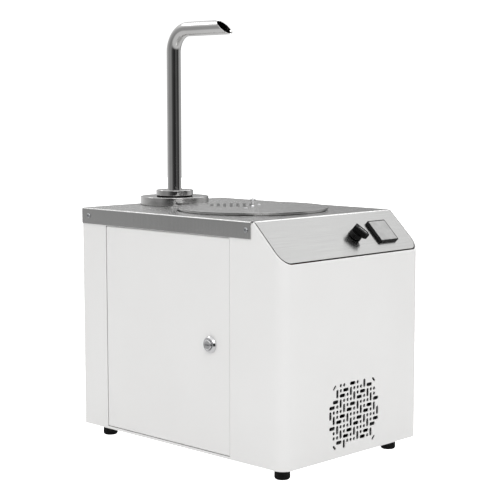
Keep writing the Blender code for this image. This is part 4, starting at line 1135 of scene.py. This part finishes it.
def blend_colours(tree, factor, first, second):
    node = tree.nodes.new("ShaderNodeMix")
    node.data_type = "RGBA"
    tree.links.new(factor, node.inputs["Factor"])
    tree.links.new(first, node.inputs["A"])
    tree.links.new(second, node.inputs["B"])
    return node.outputs["Result"]


def world():
    """A studio: soft white above, a pale floor below, a ring of grey and dark cards between."""
    sky = bpy.data.worlds.new("studio")
    bpy.context.scene.world = sky
    sky.use_nodes = True
    tree = sky.node_tree
    nodes = tree.nodes
    place = nodes.new("ShaderNodeTexCoord")
    split = nodes.new("ShaderNodeSeparateXYZ")
    tree.links.new(place.outputs["Generated"], split.inputs[0])
    bearing = nodes.new("ShaderNodeMath")
    bearing.operation = "ARCTAN2"
    tree.links.new(split.outputs["Y"], bearing.inputs[0])
    tree.links.new(split.outputs["X"], bearing.inputs[1])
    turn = nodes.new("ShaderNodeMath")
    turn.operation = "MULTIPLY_ADD"
    turn.inputs[1].default_value = 1 / math.tau
    turn.inputs[2].default_value = 0.5
    tree.links.new(bearing.outputs[0], turn.inputs[0])
    ring = ramp(
        tree,
        turn.outputs[0],
        (
            (0.00, 0.30), (0.03, 0.20), (0.07, 0.07), (0.13, 0.03), (0.20, 0.025),
            (0.215, 0.12), (0.24, 0.10), (0.285, 0.08), (0.32, 0.03), (0.35, 0.04),
            (0.39, 0.40), (0.46, 0.55), (0.55, 0.22), (0.59, 0.20), (0.63, 0.40),
            (0.70, 0.80), (0.80, 0.52), (0.87, 0.38), (0.93, 0.28), (1.00, 0.30),
        ),
    )
    above = ramp(
        tree,
        split.outputs["Z"],
        ((0.0, 0.45), (0.35, 0.60), (0.60, 1.05), (0.80, 1.10), (1.0, 0.75)),
    )
    below = ramp(tree, split.outputs["Z"], ((0.0, 0.70), (1.0, 0.70)))
    dip = nodes.new("ShaderNodeMath")
    dip.operation = "MULTIPLY"
    dip.inputs[1].default_value = -1.0
    tree.links.new(split.outputs["Z"], dip.inputs[0])
    upper = blend_colours(tree, span(tree, split.outputs["Z"], 0.20, 0.52), ring, above)
    whole = blend_colours(tree, span(tree, dip.outputs[0], 0.17, 0.45), upper, below)
    ground = nodes["Background"]
    tree.links.new(whole, ground.inputs["Color"])
    white = nodes.new("ShaderNodeBackground")
    white.inputs["Color"].default_value = (1.0, 1.0, 1.0, 1.0)
    white.inputs["Strength"].default_value = 1.1
    path = nodes.new("ShaderNodeLightPath")
    mix = nodes.new("ShaderNodeMixShader")
    tree.links.new(path.outputs["Is Camera Ray"], mix.inputs["Fac"])
    tree.links.new(ground.outputs[0], mix.inputs[1])
    tree.links.new(white.outputs[0], mix.inputs[2])
    tree.links.new(mix.outputs[0], nodes["World Output"].inputs["Surface"])


def softbox(name, place, target, width, height, power):
    light = bpy.data.lights.new(name, "AREA")
    light.shape = "RECTANGLE"
    light.size = width
    light.size_y = height
    light.energy = power
    obj = bpy.data.objects.new(name, light)
    looks.objects.link(obj)
    obj.location = place
    obj.rotation_euler = (Vector(target) - Vector(place)).to_track_quat("-Z", "Y").to_euler()
    obj.visible_camera = False
    return obj


def camera():
    """The photograph's viewing angle: left and front seen at 45 degrees, from a little above."""
    azimuth = math.radians(CAMERA_AZIMUTH)
    elevation = math.radians(CAMERA_ELEVATION)
    back = Vector(
        (
            math.sin(azimuth) * math.cos(elevation),
            -math.cos(azimuth) * math.cos(elevation),
            math.sin(elevation),
        )
    )
    data = bpy.data.cameras.new("camera")
    data.lens = CAMERA_LENS
    data.sensor_width = 36.0
    obj = bpy.data.objects.new("camera", data)
    looks.objects.link(obj)
    obj.location = Vector(CAMERA_TARGET) + back * CAMERA_DISTANCE
    turn = (-back).to_track_quat("-Z", "Y").to_matrix().to_4x4()
    roll = Matrix.Rotation(math.radians(CAMERA_ROLL), 4, "Z")
    obj.matrix_world = Matrix.Translation(obj.location) @ turn @ roll
    bpy.context.scene.camera = obj


dress_cad()
camera()
world()
floor()
softbox("key", (-1.3, -1.9, 1.7), (0, 0, 0.2), 1.6, 1.6, 15)
softbox("fill", (1.8, -1.4, 1.5), (0, 0, 0.2), 1.4, 1.4, 2)
softbox("top", (0.2, 0.3, 2.4), (0, 0, 0.3), 1.4, 1.4, 9).visible_glossy = False
softbox("rim_right", (1.7, 1.05, 1.75), (0, 0, 0.3), 1.3, 0.35, 4)
softbox("rim_left", (-0.3, 1.8, 2.0), (0, 0, 0.3), 1.0, 0.35, 4)

shell()
door()
cover()
cover_screws()
feet()
back_panel()
lock()
lid()
lid_hardware()
spout_discs()
spout()
knob()
switch()

bpy.context.scene.view_settings.view_transform = "Standard"
